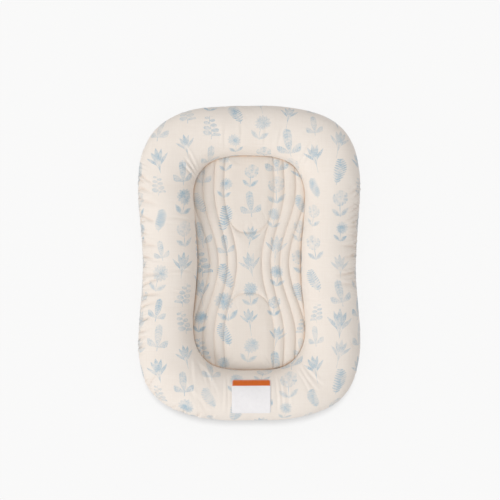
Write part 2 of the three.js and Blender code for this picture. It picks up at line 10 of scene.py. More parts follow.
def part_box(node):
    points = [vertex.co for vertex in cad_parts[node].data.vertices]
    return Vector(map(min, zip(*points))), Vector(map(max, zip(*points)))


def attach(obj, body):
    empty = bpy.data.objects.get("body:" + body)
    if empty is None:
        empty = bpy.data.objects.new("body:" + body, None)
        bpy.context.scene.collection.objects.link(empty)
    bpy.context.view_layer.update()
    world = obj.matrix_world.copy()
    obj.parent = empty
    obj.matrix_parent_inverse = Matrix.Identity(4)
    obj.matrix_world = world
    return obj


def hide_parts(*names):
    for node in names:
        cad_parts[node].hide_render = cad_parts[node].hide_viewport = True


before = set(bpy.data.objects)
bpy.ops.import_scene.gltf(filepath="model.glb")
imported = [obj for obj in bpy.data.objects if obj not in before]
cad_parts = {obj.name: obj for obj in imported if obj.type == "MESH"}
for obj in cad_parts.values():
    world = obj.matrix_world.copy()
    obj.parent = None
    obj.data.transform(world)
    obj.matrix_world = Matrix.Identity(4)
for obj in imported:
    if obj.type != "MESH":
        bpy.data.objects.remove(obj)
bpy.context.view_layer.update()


# The cover's skin. One panel of printed plain-weave cotton goes over the stuffed ring and one of plain
# cotton goes under it. They are sewn together low on the ring's outer side, where the seam gathers the
# cloth into short puckers.
ring_length = 0.681
ring_width = 0.488
ring_height = 0.100
ring_waist = 0.013
well_length = 0.468
well_width = 0.256
well_waist = 0.0156
waist_reach = 0.200
end_power = 2.9
side_power = 5.5
section_power = 2.3
floor_flattening = 0.004
outer_seam_height = 0.042
crease_height = 0.035
underside_height = 0.014
cloth_cell = 0.0052
cover_cloth = 0.0012


def squircle(phi, across_power, along_power):
    """Places on the unit superellipse, whose radius lies between 1 and the root of 2, found by halving."""
    c, s = np.cos(phi), np.sin(phi)
    low, high = np.ones_like(c), np.full_like(c, math.sqrt(2))
    for _ in range(44):
        r = (low + high) / 2
        inside = np.abs(r * c) ** across_power + np.abs(r * s) ** along_power < 1
        low, high = np.where(inside, r, low), np.where(inside, high, r)
    return np.stack([low * c, low * s], axis=-1)


def waisted_outline(phi, width, length, waist):
    place = squircle(phi, end_power, side_power) * [width / 2, length / 2]
    narrow = np.cos(math.pi / 2 * np.minimum(1, np.abs(place[..., 1]) / waist_reach)) ** 2
    place[..., 0] -= np.sign(np.round(place[..., 0], 9)) * waist * narrow
    return place


def ring_outline(phi):
    return waisted_outline(phi, ring_width, ring_length, ring_waist)


def well_outline(phi):
    return waisted_outline(phi, well_width, well_length, well_waist)


def rounded(x):
    return np.sign(x) * np.abs(x) ** (2 / section_power)


low_reach = ring_height / 2 + floor_flattening


def ring_place(phi, theta, depth=0.0):
    """A place on the ring: phi turns round the lounger, theta round the section, 0 facing out, 90 up."""
    outer, inner = ring_outline(phi), well_outline(phi)
    half = np.linalg.norm(outer - inner, axis=-1) / 2
    across = (outer - inner) / (2 * half[..., None])
    out = (half - depth) * rounded(np.cos(theta))
    up = rounded(np.sin(theta))
    rise = np.where(up > 0, up * (ring_height / 2 - depth), up * (low_reach - depth))
    plan = (outer + inner) / 2 + across * out[..., None]
    height = np.broadcast_to(np.maximum(depth, ring_height / 2 + rise), plan.shape[:-1])
    return np.concatenate([plan, height[..., None]], axis=-1)


def dip(height):
    """How far round below the horizontal the section is at a height in its lower half."""
    return math.asin(((ring_height / 2 - height) / low_reach) ** (section_power / 2))


def reach_along(line):
    """How far along a line each of its places is."""
    return np.concatenate([[0], np.cumsum(np.linalg.norm(np.diff(line, axis=0), axis=-1))])


def even_steps(point_at, start, end, count):
    """A curve's parameter at so many equal steps along it, and the curve's length."""
    fine = np.linspace(start, end, 6000)
    reached = reach_along(point_at(fine))
    return np.interp(np.linspace(0, reached[-1], count + 1), reached, fine), reached[-1]


def even_turns(outline, count):
    """So many turns round a closed outline, evenly spaced along it."""
    return even_steps(outline, 0, 2 * math.pi, count)[0][:-1]


def length_round(outline):
    return even_steps(outline, 0, 2 * math.pi, 1)[1]


def crown_line(phi):
    return ring_place(phi, np.full_like(phi, math.pi / 2))


def side_section(theta):
    return ring_place(np.zeros_like(theta), theta)


outer_seam = -dip(outer_seam_height)
crease = math.pi + dip(crease_height)
underside_lift = -math.pi + dip(underside_height)
crown_length = length_round(crown_line)
columns = round(crown_length / cloth_cell)
top_rows = round(even_steps(side_section, outer_seam, crease, 1)[1] / cloth_cell)
under_rows = round(even_steps(side_section, underside_lift, outer_seam, 1)[1] / cloth_cell)
turns = even_turns(crown_line, columns)
under_angles = even_steps(side_section, underside_lift, outer_seam, under_rows)[0]
top_angles = even_steps(side_section, outer_seam, crease, top_rows)[0]
section_angles = np.concatenate([under_angles, top_angles[1:]])
all_rows = under_rows + top_rows
skin_at_rest = ring_place(turns[:, None], section_angles[None, :])


def put_in_scene(name, data):
    """Stands a mesh, a lamp or the camera in the scene, at the origin."""
    thing = bpy.data.objects.new(name, data)
    bpy.context.scene.collection.objects.link(thing)
    return thing


def finish_piece(name, bm, smooth=True):
    """Makes a shape a piece of the scene."""
    if smooth:
        for face in bm.faces:
            face.smooth = True
    mesh = bpy.data.meshes.new(name)
    bm.to_mesh(mesh)
    bm.free()
    return put_in_scene(name, mesh)


def places_in_band(mesh):
    """Which of its band's places each vertex is, counted column by column."""
    found = np.zeros(len(mesh.vertices), np.int32)
    mesh.attributes["place"].data.foreach_get("value", found)
    return found


def lay_band(name, places, cloth_plan=None, closed_section=False):
    """A band of cloth that runs right round: places holds its points, columns round it and rows across it."""
    round_steps, points_across = places.shape[:2]
    across_steps = points_across if closed_section else points_across - 1
    bm = bmesh.new()
    bmesh.ops.create_grid(bm, x_segments=round_steps, y_segments=across_steps, size=0.5)
    place_layer = bm.verts.layers.int.new("place")
    for vertex in bm.verts:
        column = round((vertex.co.x + 0.5) * round_steps) % round_steps
        row = round((vertex.co.y + 0.5) * across_steps) % points_across
        vertex.co = places[column, row]
        vertex[place_layer] = column * points_across + row
    bmesh.ops.remove_doubles(bm, verts=bm.verts, dist=1e-7)
    piece = finish_piece(name, bm)
    if cloth_plan is not None:
        print_cloth(piece.data, cloth_plan.reshape(-1, 2)[places_in_band(piece.data)])
    return piece


def print_cloth(mesh, cloth_places):
    """Gives each vertex its place on the flat cloth, in metres, as the piece's UV map."""
    corners = np.zeros(len(mesh.loops), np.int32)
    mesh.loops.foreach_get("vertex_index", corners)
    layer = mesh.uv_layers.new(name="cloth")
    layer.data.foreach_set("uv", cloth_places[corners].astype(np.float32).ravel())


def points_of(piece):
    """Where the piece's vertices are now, with its modifiers."""
    shown = piece.evaluated_get(bpy.context.evaluated_depsgraph_get()).data
    found = np.zeros(len(shown.vertices) * 3)
    shown.vertices.foreach_get("co", found)
    return found.reshape(-1, 3)


def fill_out(piece, held, spare, pressure, growth, steps=20):
    """Swells a sheet over its filling: held points stay put, and spare cloth by the seams puckers."""
    pins = piece.vertex_groups.new(name="held")
    pins.add(np.flatnonzero(held).tolist(), 1.0, "REPLACE")
    easing = piece.vertex_groups.new(name="spare")
    grades = np.round(spare, 2)
    for grade in np.unique(grades[grades > 0]):
        easing.add(np.flatnonzero(grades == grade).tolist(), float(grade), "REPLACE")
    cloth = piece.modifiers.new("cloth", "CLOTH")
    cloth.settings.quality = 5
    cloth.settings.mass = 0.001
    cloth.settings.bending_stiffness = 0.02
    cloth.settings.use_pressure = True
    cloth.settings.uniform_pressure_force = pressure
    cloth.settings.effector_weights.gravity = 0
    cloth.settings.vertex_group_mass = "held"
    cloth.settings.vertex_group_shrink = "spare"
    cloth.settings.shrink_min = 0.0
    cloth.settings.shrink_max = -growth
    cloth.point_cache.frame_end = steps
    for step in range(1, steps + 1):
        bpy.context.scene.frame_set(step)
    swollen = points_of(piece)
    piece.modifiers.clear()
    piece.vertex_groups.clear()
    bpy.context.scene.frame_set(1)
    return swollen


# The filling's push on the skin, the spare cloth by its seams, and how far the skin may sink or rise
skin_pressure = 15
skin_growth = 0.09
spare_by_seam = 0.020
spare_by_crease = 0.018
crease_share = 0.7
skin_sink = 0.0012
skin_rise = 0.005
floor_touch = 0.0004


def swell_skin():
    """The skin after the filling has pushed it out, as places by column and row."""
    piece = lay_band("skin", skin_at_rest)
    place_of = places_in_band(piece.data)
    start = points_of(piece)
    row = place_of % (all_rows + 1)
    on_floor = start[:, 2] < floor_touch
    held = (row == 0) | (row == under_rows) | (row == all_rows) | on_floor
    near_seam = np.exp(-(((row - under_rows) * cloth_cell / spare_by_seam) ** 2))
    near_crease = np.exp(-(((row - all_rows) * cloth_cell / spare_by_crease) ** 2))
    spare = np.clip(near_seam + crease_share * near_crease, 0, 1)
    moved = fill_out(piece, held, spare, skin_pressure, skin_growth) - start
    swollen = np.zeros_like(skin_at_rest).reshape(-1, 3)
    rest_facing = facing(skin_at_rest).reshape(-1, 3)[place_of]
    outward = np.sum(moved * rest_facing, axis=1, keepdims=True)
    capped = moved + (np.clip(outward, -skin_sink, skin_rise) - outward) * rest_facing
    swollen[place_of] = start + capped
    bpy.data.objects.remove(piece)
    return swollen.reshape(skin_at_rest.shape)


def facing(places):
    """Unit normals of a band's places."""
    along = np.roll(places, -1, 0) - np.roll(places, 1, 0)
    across = np.gradient(places, axis=1)
    normal = np.cross(along, across)
    return normal / np.maximum(np.linalg.norm(normal, axis=-1, keepdims=True), 1e-12)


def finer(places):
    """Twice as many columns and rows, on smooth curves through the places."""
    before, after, beyond = (np.roll(places, step, 0) for step in (1, -1, -2))
    middle = (9 * (places + after) - before - beyond) / 16
    round_it = np.stack([places, middle], axis=1).reshape(-1, *places.shape[1:])
    ends = [2 * round_it[:, :1] - round_it[:, 1:2], round_it, 2 * round_it[:, -1:] - round_it[:, -2:-1]]
    longer = np.concatenate(ends, axis=1)
    middle = (9 * (longer[:, 1:-2] + longer[:, 2:-1]) - longer[:, :-3] - longer[:, 3:]) / 16
    result = np.empty((round_it.shape[0], 2 * round_it.shape[1] - 1, 3))
    result[:, ::2] = round_it
    result[:, 1::2] = middle
    return result


skin = finer(swell_skin())
seam_row = 2 * under_rows
steps_across = np.linalg.norm(np.diff(skin, axis=1), axis=-1)
reached = np.concatenate([np.zeros((skin.shape[0], 1)), np.cumsum(steps_across, axis=1)], axis=1)
from_seam = reached - reached[:, seam_row: seam_row + 1]
from_crease = reached[:, -1:] - reached
round_ring = np.arange(skin.shape[0])[:, None] * crown_length / skin.shape[0]

# Slow unevenness of the filling under the cloth, in lumps large and small that fade at the floor and seam
lump_size = 0.085
lump_height = 0.0022
small_lump_share = 2.3
floor_fade = 0.020
seam_fade = 0.012


def lumps(places, size, seed):
    shift = Vector((seed, 0, 0))
    flat = places.reshape(-1, 3) / size
    return np.array([noise.noise(Vector(place) + shift) for place in flat]).reshape(places.shape[:-1])


skin_facing = facing(skin)
lift = lump_height * lumps(skin, lump_size, 3)
lift = lift + 0.5 * lump_height * lumps(skin, lump_size / small_lump_share, 9)
lift *= np.clip(skin[..., 2] / floor_fade, 0, 1) * (1 - np.exp(-np.abs(from_seam) / seam_fade))

# The seam draws the cloth in, and its puckers run up from it over the ring's side. They crowd along both
# waists and round the foot end's left corner. Each crowded stretch is a box in plan, and its puckers to the
# metre of seam.
seam_tuck = 0.0022
seam_reach = 0.0035
fewest_puckers = 26
crowded_stretches = [
    ((-1, -0.1), (-0.16, 0.19), 115),
    ((0.1, 1), (-0.07, 0.15), 100),
    ((-1, -0.06), (-1, -0.2), 66),
]
pucker_depths = (0.0012, 0.0034)
pucker_reaches = (0.050, 0.100)
pucker_widths = (0.0020, 0.0031)
steepest_slant = 0.22
lift -= seam_tuck * np.exp(-np.abs(from_seam) / seam_reach)
draw = np.random.default_rng(11)
crown_turns = even_turns(crown_line, skin.shape[0])
crown_plan = crown_line(crown_turns)


def gathered(place):
    """How thickly the seam is gathered at a place round the ring, in puckers to the metre."""
    x, y, _ = crown_plan[int(place / crown_length * len(crown_plan)) % len(crown_plan)]
    for (left, right), (low, high), puckers in crowded_stretches:
        if left < x < right and low < y < high:
            return puckers
    return fewest_puckers


def smooth_step(x):
    x = np.clip(x, 0, 1)
    return x * x * (3 - 2 * x)


def pucker(depth, reach, width, place, slant):
    """A fold that starts at the seam and fades out up the ring's side, with a ridge beside its valley."""
    aside = round_ring - place - slant * from_seam
    aside = (aside + crown_length / 2) % crown_length - crown_length / 2
    share = from_seam / reach
    risen = 0.12 + 0.88 * smooth_step((share - 0.12) / 0.30)
    above = risen * (1 - smooth_step((share - 0.5) / 0.5)) * smooth_step(share / 0.05)
    below = 0.5 * (1 - smooth_step(-share / 0.3)) * smooth_step(-share / 0.04)
    valley = np.exp(-((aside / width) ** 2))
    ridge = np.exp(-(((aside - 1.7 * width) / width) ** 2))
    return depth * np.where(share > 0, above, below) * (0.75 * ridge - valley)


gather_lift = np.zeros_like(lift)
place = 0.0
while place < crown_length:
    thick = gathered(place)
    tall = 0.55 + 0.45 * min(1, thick / 80)
    deep = 0.30 + 0.70 * smooth_step((thick - fewest_puckers) / 60)
    gather_lift += pucker(
        depth=deep * draw.uniform(*pucker_depths),
        reach=tall * draw.uniform(*pucker_reaches),
        width=draw.uniform(*pucker_widths),
        place=place,
        slant=draw.uniform(-steepest_slant, steepest_slant),
    )
    place += draw.uniform(0.6, 1.4) / thick
lift += gather_lift


def fold(start, end, width, depth, bow=0.0):
    """A fold over the top of the ring, between two places in plan, in metres."""
    start, end = np.array(start), np.array(end)
    length = np.linalg.norm(end - start)
    along = (end - start) / length
    beside = np.array([-along[1], along[0]])
    offset = skin[..., :2] - start
    share = offset @ along / length
    aside = offset @ beside - bow * 4 * share * (1 - share)
    strength = np.where((share > 0) & (share < 1), np.sin(math.pi * np.clip(share, 0, 1)) ** 0.7, 0)
    strength *= (skin_facing[..., 2] > 0.05) | (from_seam > 0)
    valley = np.exp(-((aside / width) ** 2))
    ridge = np.exp(-(((aside - 1.8 * width) / (1.2 * width)) ** 2))
    return depth * strength * (0.7 * ridge - valley)


# Pull folds that run out from the pad's corners, and creases over the arms: start, end, width, depth and bow
least_height = 0.0003
ring_folds = [
    ((-0.144, 0.258), (-0.112, 0.1975), 0.0022, 0.0018, 0.0035),
    ((-0.138, 0.226), (-0.1135, 0.187), 0.0021, 0.0025, 0.001),
    ((-0.144, 0.216), (-0.115, 0.182), 0.0023, 0.0027, -0.001),
    ((0.112, 0.198), (0.156, 0.258), 0.0030, 0.0013, 0.004),
    ((0.106, 0.206), (0.140, 0.268), 0.0026, 0.0010, 0.003),
    ((-0.116, -0.205), (-0.092, -0.262), 0.0026, 0.0016, 0.003),
    ((-0.108, -0.214), (-0.078, -0.275), 0.0027, 0.0018, 0.004),
    ((-0.100, -0.222), (-0.066, -0.284), 0.0025, 0.0014, 0.003),
    ((-0.122, -0.196), (-0.118, -0.262), 0.0028, 0.0012, -0.003),
    ((0.114, -0.212), (0.160, -0.262), 0.0028, 0.0015, -0.004),
    ((0.108, -0.220), (0.148, -0.275), 0.0026, 0.0017, -0.003),
    ((0.100, -0.228), (0.132, -0.288), 0.0027, 0.0012, 0.003),
    ((-0.056, -0.238), (-0.058, -0.322), 0.0026, 0.0013, 0.002),
    ((-0.048, -0.238), (-0.046, -0.326), 0.0024, 0.0016, 0.002),
    ((-0.038, -0.240), (-0.034, -0.318), 0.0025, 0.0012, -0.002),
    ((0.054, -0.238), (0.060, -0.326), 0.0026, 0.0017, 0.003),
    ((0.063, -0.240), (0.072, -0.318), 0.0024, 0.0013, 0.002),
    ((0.074, -0.240), (0.086, -0.312), 0.0026, 0.0012, 0.002),
    ((-0.140, -0.250), (-0.098, -0.330), 0.0026, 0.0015, 0.003),
    ((-0.128, -0.262), (-0.085, -0.335), 0.0025, 0.0018, 0.003),
    ((-0.112, -0.270), (-0.070, -0.338), 0.0026, 0.0014, -0.003),
    ((-0.226, -0.036), (-0.172, -0.031), 0.0023, 0.0022, 0.002),
    ((-0.190, -0.030), (-0.138, -0.024), 0.0022, 0.0010, 0.002),
    ((-0.225, 0.012), (-0.170, 0.006), 0.0024, 0.0014, -0.003),
    ((-0.228, 0.078), (-0.150, 0.086), 0.0024, 0.0012, 0.003),
    ((-0.170, 0.098), (-0.118, 0.090), 0.0023, 0.0016, 0.002),
    ((-0.165, -0.014), (-0.120, -0.018), 0.0024, 0.0013, 0.002),
    ((-0.166, -0.060), (-0.118, -0.062), 0.0023, 0.0020, -0.002),
    ((0.120, 0.036), (0.168, 0.040), 0.0025, 0.0012, 0.002),
    ((0.118, 0.084), (0.160, 0.090), 0.0024, 0.0010, -0.002),
    ((0.122, -0.072), (0.166, -0.080), 0.0024, 0.0011, -0.002),
    ((-0.052, 0.244), (-0.050, 0.300), 0.0026, 0.0010, 0.002),
    ((-0.020, 0.244), (-0.018, 0.308), 0.0025, 0.0010, -0.002),
    ((0.030, 0.246), (0.034, 0.305), 0.0025, 0.0009, -0.002),
    ((0.062, 0.244), (0.072, 0.296), 0.0026, 0.0010, 0.002),
]
for start, end, width, depth, bow in ring_folds:
    lift += fold(start, end, width, depth, bow)
skin = skin + lift[..., None] * skin_facing
skin[..., 2] = np.maximum(skin[..., 2], least_height)

# Where each place lies on the flat cloth: its crown's place in plan, and on from there along the cloth
crown_row = np.argmax(skin_at_rest[0, :, 2]) * 2
plan_across = np.linalg.norm(skin[..., :2] - crown_plan[:, None, :2], axis=-1, keepdims=True)
cloth_across = np.abs(reached - reached[:, crown_row: crown_row + 1])[..., None]
print_ease = 0.8
full_across = plan_across + print_ease * np.maximum(0, cloth_across - plan_across)
outward_way = ring_outline(crown_turns) - crown_plan[:, :2]
outward_way /= np.linalg.norm(outward_way, axis=-1, keepdims=True)
side = np.sign(crown_row - np.arange(skin.shape[1]))[None, :, None]
cloth_plan = crown_plan[:, None, :2] + side * outward_way[:, None, :] * full_across

seam_half_gap_share = 0.06
top_places = skin[:, seam_row:].copy()
top_places[:, 0] += seam_half_gap_share * (top_places[:, 1] - top_places[:, 0])
cover_top = lay_band("ring_top_cloth", top_places, cloth_plan[:, seam_row:])


def give_thickness(piece, amount):
    """Cloth has two faces: the second one lies this far behind the first."""
    wall = piece.modifiers.new("cloth_thickness", "SOLIDIFY")
    wall.thickness = amount
    wall.offset = -1


give_thickness(cover_top, cover_cloth)


class Signal:
    """A number that varies over a surface. Arithmetic with it adds Math nodes to its tree."""

    def __init__(self, tree, socket):
        self.tree = tree
        self.socket = socket

    def through(self, operation, *others):
        node = self.tree.nodes.new("ShaderNodeMath")
        node.operation = operation
        for slot, value in zip(node.inputs, (self, *others)):
            if isinstance(value, Signal):
                self.tree.links.new(value.socket, slot)
            else:
                slot.default_value = value
        return Signal(self.tree, node.outputs[0])

    def __add__(self, other):
        return self.through("ADD", other)

    def __sub__(self, other):
        return self.through("SUBTRACT", other)

    def __mul__(self, other):
        return self.through("MULTIPLY", other)

    def __truediv__(self, other):
        return self.through("DIVIDE", other)

    def __rsub__(self, other):
        return self * -1 + other

    __radd__ = __add__

    def size(self):
        return self.through("ABSOLUTE")

    def squared(self):
        return self * self

    def root(self):
        return self.through("MAXIMUM", 0).through("SQRT")

    def wave(self):
        return self.through("SINE")

    def part(self):
        """What is left of it past the last whole number."""
        return self.through("FRACT")

    def most(self, other):
        return self.through("MAXIMUM", other)

    def least(self, other):
        return self.through("MINIMUM", other)

    def under(self, edge, soft):
        """1 where it is less than an edge and 0 where it is more, with a soft step between them."""
        step = self.tree.nodes.new("ShaderNodeMapRange")
        step.interpolation_type = "SMOOTHSTEP"
        self.tree.links.new(self.socket, step.inputs["Value"])
        step.inputs["From Min"].default_value = edge - soft
        step.inputs["From Max"].default_value = edge + soft
        step.inputs["To Min"].default_value = 1
        step.inputs["To Max"].default_value = 0
        return Signal(self.tree, step.outputs["Result"])


def parts_of(tree, vector):
    split = tree.nodes.new("ShaderNodeSeparateXYZ")
    tree.links.new(vector, split.inputs["Vector"])
    return [Signal(tree, split.outputs[axis]) for axis in "XYZ"]


def vector_of(tree, *values):
    join = tree.nodes.new("ShaderNodeCombineXYZ")
    for slot, value in zip(join.inputs, values):
        if isinstance(value, Signal):
            tree.links.new(value.socket, slot)
        else:
            slot.default_value = value
    return join.outputs["Vector"]


def mottle(tree, vector, scale, detail=2.0):
    """Smooth unevenness, from about 0 to 1."""
    cloud = tree.nodes.new("ShaderNodeTexNoise")
    cloud.inputs["Scale"].default_value = scale
    cloud.inputs["Detail"].default_value = detail
    tree.links.new(vector, cloud.inputs["Vector"])
    return Signal(tree, cloud.outputs["Fac"])


def new_group(name, inputs, outputs):
    """A shader node group: inputs and outputs are (name, kind) pairs."""
    tree = bpy.data.node_groups.new(name, "ShaderNodeTree")
    for label, kind in inputs:
        tree.interface.new_socket(name=label, in_out="INPUT", socket_type="NodeSocket" + kind)
    for label, kind in outputs:
        tree.interface.new_socket(name=label, in_out="OUTPUT", socket_type="NodeSocket" + kind)
    return tree, tree.nodes.new("NodeGroupInput"), tree.nodes.new("NodeGroupOutput")


def place_group(tree, group, vector, **values):
    """Puts a group into a material, with its own values. Returns its node."""
    node = tree.nodes.new("ShaderNodeGroup")
    node.node_tree = group
    tree.links.new(vector, node.inputs["Vector"])
    for label, value in values.items():
        node.inputs[label].default_value = value
    return node


# Plain weave: warp and weft threads pass over and under each other, and some are thicker for a stretch
weave, weave_in, weave_out = new_group(
    "plain weave",
    [("Vector", "Vector"), ("Thread", "Float")],
    [("Height", "Float"), ("Tone", "Float")],
)
u, v, _ = parts_of(weave, weave_in.outputs["Vector"])
thread = Signal(weave, weave_in.outputs["Thread"])
warp_turn, weft_turn = u / thread * math.pi, v / thread * math.pi
warp, weft = warp_turn.wave().size(), weft_turn.wave().size()
over = (warp_turn + math.pi / 2).wave() * (weft_turn + math.pi / 2).wave() * 0.5 + 0.5
woven = (warp * (over * 0.6 + 0.4)).most(weft * (1 - over * 0.6))
slub_length_share, slub_width_share = 0.012, 0.35
along_warp = vector_of(weave, u * slub_width_share, v * slub_length_share, 0.0)
along_weft = vector_of(weave, u * slub_length_share, v * slub_width_share, 4.0)
slubs = mottle(weave, along_warp, 1800, 1.0) + mottle(weave, along_weft, 1800, 1.0)
thick = 1 - slubs.under(1.14, 0.12)
weave.links.new((woven + thick * 0.8).socket, weave_out.inputs["Height"])
weave.links.new((slubs - 1).socket, weave_out.inputs["Tone"])


# The print: soft blue garden plants, each drawn in a box about 2 by 2, and set out on the cloth
# in a half-drop repeat
plants, plants_in, plants_out = new_group("plant print", [("Vector", "Vector")], [("Ink", "Float")])
plot_width = 0.055
plot_height = 0.064
repeat_columns = 8
repeat_rows = 7
plant_half = 0.0335
cloth_u, cloth_v, _ = parts_of(plants, plants_in.outputs["Vector"])
plot_u = cloth_u / plot_width
plot_column = plot_u.through("FLOOR")
plot_v = cloth_v / plot_height + plot_column.through("FLOORED_MODULO", 2) * 0.5
plot_row = plot_v.through("FLOOR")
plot = [
    plot_column.through("FLOORED_MODULO", repeat_columns),
    plot_row.through("FLOORED_MODULO", repeat_rows),
]


def chances(seed):
    """Three numbers from 0 to 1 that are fixed for each plot of the repeat."""
    dice = plants.nodes.new("ShaderNodeTexWhiteNoise")
    plants.links.new(vector_of(plants, *plot, seed), dice.inputs["Vector"])
    split = plants.nodes.new("ShaderNodeSeparateColor")
    plants.links.new(dice.outputs["Color"], split.inputs["Color"])
    return [Signal(plants, socket) for socket in split.outputs]


kind_chance, size_chance, turn_chance = chances(1.5)
jog_u_chance, jog_v_chance, flip_chance = chances(7.5)
strength_chance = chances(4.5)[0]
plant_size = size_chance * 0.36 + 0.66
room = 1.02 - plant_size
local_u = (plot_u.part() - 0.5) * plot_width + (jog_u_chance - 0.5) * room * 0.03
local_v = (plot_v.part() - 0.5) * plot_height + (jog_v_chance - 0.5) * room * 0.05
lean = (turn_chance - 0.5) * 0.5
mirror = (flip_chance - 0.5).through("SIGN")
plant_u = (local_u * lean.through("COSINE") + local_v * lean.wave()) * mirror / (plant_size * plant_half)
plant_v = (local_v * lean.through("COSINE") - local_u * lean.wave()) / (plant_size * plant_half)


def stem(aside, height, thickness, low, high):
    """A thin upright line between two heights."""
    line = (aside - thickness).under(0, 0.014) * (height - high).under(0, 0.02)
    return line * (1 - (height - low).under(0, 0.02))


def fern(across, up):
    bent = across - (up * 1.7 + 0.5).wave() * 0.24 + 0.08
    aside = bent.size()
    grown = ((up + 0.82) / 1.78).most(0).least(1)
    reach = (grown * (1.03 - grown)).root() * 0.98
    order = (up - aside * 0.5) * 5.6
    beside = (order.part() - 0.5).size() * 2
    leaflet = (beside - (1 - (aside / reach.most(0.01)).squared()).root() * 0.86).under(0, 0.16)
    shade = order.part() * 0.5 + 0.45
    inside = grown.under(0.985, 0.01) * (1 - grown.under(0.01, 0.02)) * (aside - reach).under(0, 0.02)
    return (leaflet * shade * inside).most(stem(aside, up, 0.014, -0.97, 0.9))


def low_leaves(aside, up, size):
    """Two leaves that rise from the foot of a stem."""
    low = up + 0.93
    along = aside * 0.75 + low * 0.66
    blade = (aside * 0.66 - low * 0.75).size() - (along * (math.pi / size)).wave() * 0.19 * size
    return blade.under(0, 0.03) * (along - size).under(0, 0.02) * (blade * -3 + 0.42)


def bloom(across, up):
    bent = across - (up * 3).wave() * 0.07
    rise = up - 0.36
    out = (bent.squared() + rise.squared()).root()
    angle = rise.through("ARCTAN2", bent)
    petal = (angle * 6.5).wave().size()
    petals = (out - petal * 0.17 - 0.44).under(0, 0.03)
    head = petals * ((1 - petal) * 0.35 + (0.62 - out) * 0.75 + 0.34)
    ring = ((out - 0.22).size() - 0.03).under(0, 0.03) * 0.9
    eye = (out - 0.12).under(0, 0.03)
    aside = bent.size()
    return head.most(ring).most(eye).most(stem(aside, up, 0.016, -0.97, 0)).most(low_leaves(aside, up, 0.9))


def wheat(across, up):
    grown = ((up + 0.97) / 1.93).most(0).least(1)
    drawn = None
    for bend, length in ((-0.84, 0.72), (-0.42, 0.92), (0.02, 1.0), (0.44, 0.88), (0.86, 0.68)):
        share = grown / length
        aside = (across - share.squared() * bend).size()
        stalk = (aside - 0.012).under(0, 0.014) * share.under(0.97, 0.02) * 0.8
        order = (up - aside * 1.5) * 7 + bend
        ear_width = ((share - 0.42).most(0) * (math.pi / 0.58)).wave() * 0.17
        grain = (aside - ear_width).under(0, 0.02) * ((order.part() - 0.5).size() * 2).under(0.88, 0.14)
        grain = grain * share.under(1, 0.01) * (order.part() * 0.5 + 0.45)
        one = stalk.most(grain)
        drawn = one if drawn is None else drawn.most(one)
    return drawn


def leafy_sprig(across, up):
    bent = across + (up * 2.4).wave() * 0.1
    aside = bent.size()
    order = up * 2.5 + bent.through("SIGN") * 0.25
    above = (order.part() - 0.5) / 2.5
    small = ((1.02 - up) / 1.9).most(0.05)
    radius = small * 0.22 + 0.14
    oval = ((aside - radius - 0.03) / radius).squared() + ((above - aside * 0.12) / (radius * 0.62)).squared()
    leaf = oval.under(1, 0.12) * (up - 0.84).under(0, 0.02) * (1 - (up + 0.72).under(0, 0.02))
    vein = (above - aside * 0.12).size().under(0.012, 0.014) * 0.3
    shade = (oval.least(1) * 0.3 + 0.42) + vein + (above * 90).wave() * 0.1
    return (leaf * shade).most(stem(aside, up, 0.016, -0.97, 0.88))


def round_head(across, up):
    bent = across - (up * 1.8).wave() * 0.06
    rise = up - 0.34
    out = (bent.squared() + rise.squared()).root()
    florets = plants.nodes.new("ShaderNodeTexVoronoi")
    florets.inputs["Scale"].default_value = 5.5
    plants.links.new(vector_of(plants, across, up, 0.0), florets.inputs["Vector"])
    spot = Signal(plants, florets.outputs["Distance"])
    tone = Signal(plants, florets.outputs["Color"])
    edge = (out + spot * 0.1).under(0.6, 0.03)
    head = edge * ((1 - spot) * 0.75 + tone * 0.35 - 0.12)
    aside = bent.size()
    return head.most(stem(aside, up, 0.018, -0.97, 0.0)).most(low_leaves(aside, up, 0.85))


def leaf_fan(across, up):
    above = up + 0.72
    wide = across * 1.25
    out = (wide.squared() + above.squared()).root()
    angle = wide.through("ARCTAN2", above)
    turned = (angle * 2.6).through("COSINE")
    longest = 1.62 - angle.size() * 0.5
    share = out / longest
    blade = turned.size() - share * 0.9 - (1 - share) * 0.06
    leaf = (0 - blade).under(0, 0.06) * angle.size().under(1.5, 0.02) * share.under(1, 0.03)
    vein = (angle * 2.6).wave().size().under(0.05, 0.05) * 0.35
    ribs = ((out - turned * 0.3) * 34).wave() * 0.14
    shade = 0.42 + vein + ribs + share * 0.2
    return (leaf * shade).most(stem(across.size(), up, 0.02, -0.97, -0.6))


ink = None
kinds = (fern, bloom, wheat, leafy_sprig, round_head, leaf_fan)
plant_kind = (kind_chance * len(kinds)).through("FLOOR")
for number, plant in enumerate(kinds):
    chosen = plant_kind.through("COMPARE", float(number), 0.1)
    drawn = chosen * plant(plant_u, plant_v)
    ink = drawn if ink is None else ink + drawn
hatching = ((cloth_u + cloth_v) * (2 * math.pi / 0.0016)).wave() * 0.2 + 0.85
wash = mottle(plants, plants_in.outputs["Vector"], 75, 2.0) * 2.4 - 0.35
grain = mottle(plants, plants_in.outputs["Vector"], 420, 2.0) * 1.7
strength = (strength_chance * 0.6 + 0.8) * wash.most(0.4) * grain * hatching
plants.links.new((ink * strength).least(1).socket, plants_out.inputs["Ink"])


def new_material(name, roughness, sheen=0.0):
    """A material with one Principled BSDF. Returns it with its tree and shader."""
    material = bpy.data.materials.new(name)
    material.use_nodes = True
    tree = material.node_tree
    shader = tree.nodes["Principled BSDF"]
    shader.inputs["Roughness"].default_value = roughness
    shader.inputs["Sheen Weight"].default_value = sheen
    return material, tree, shader


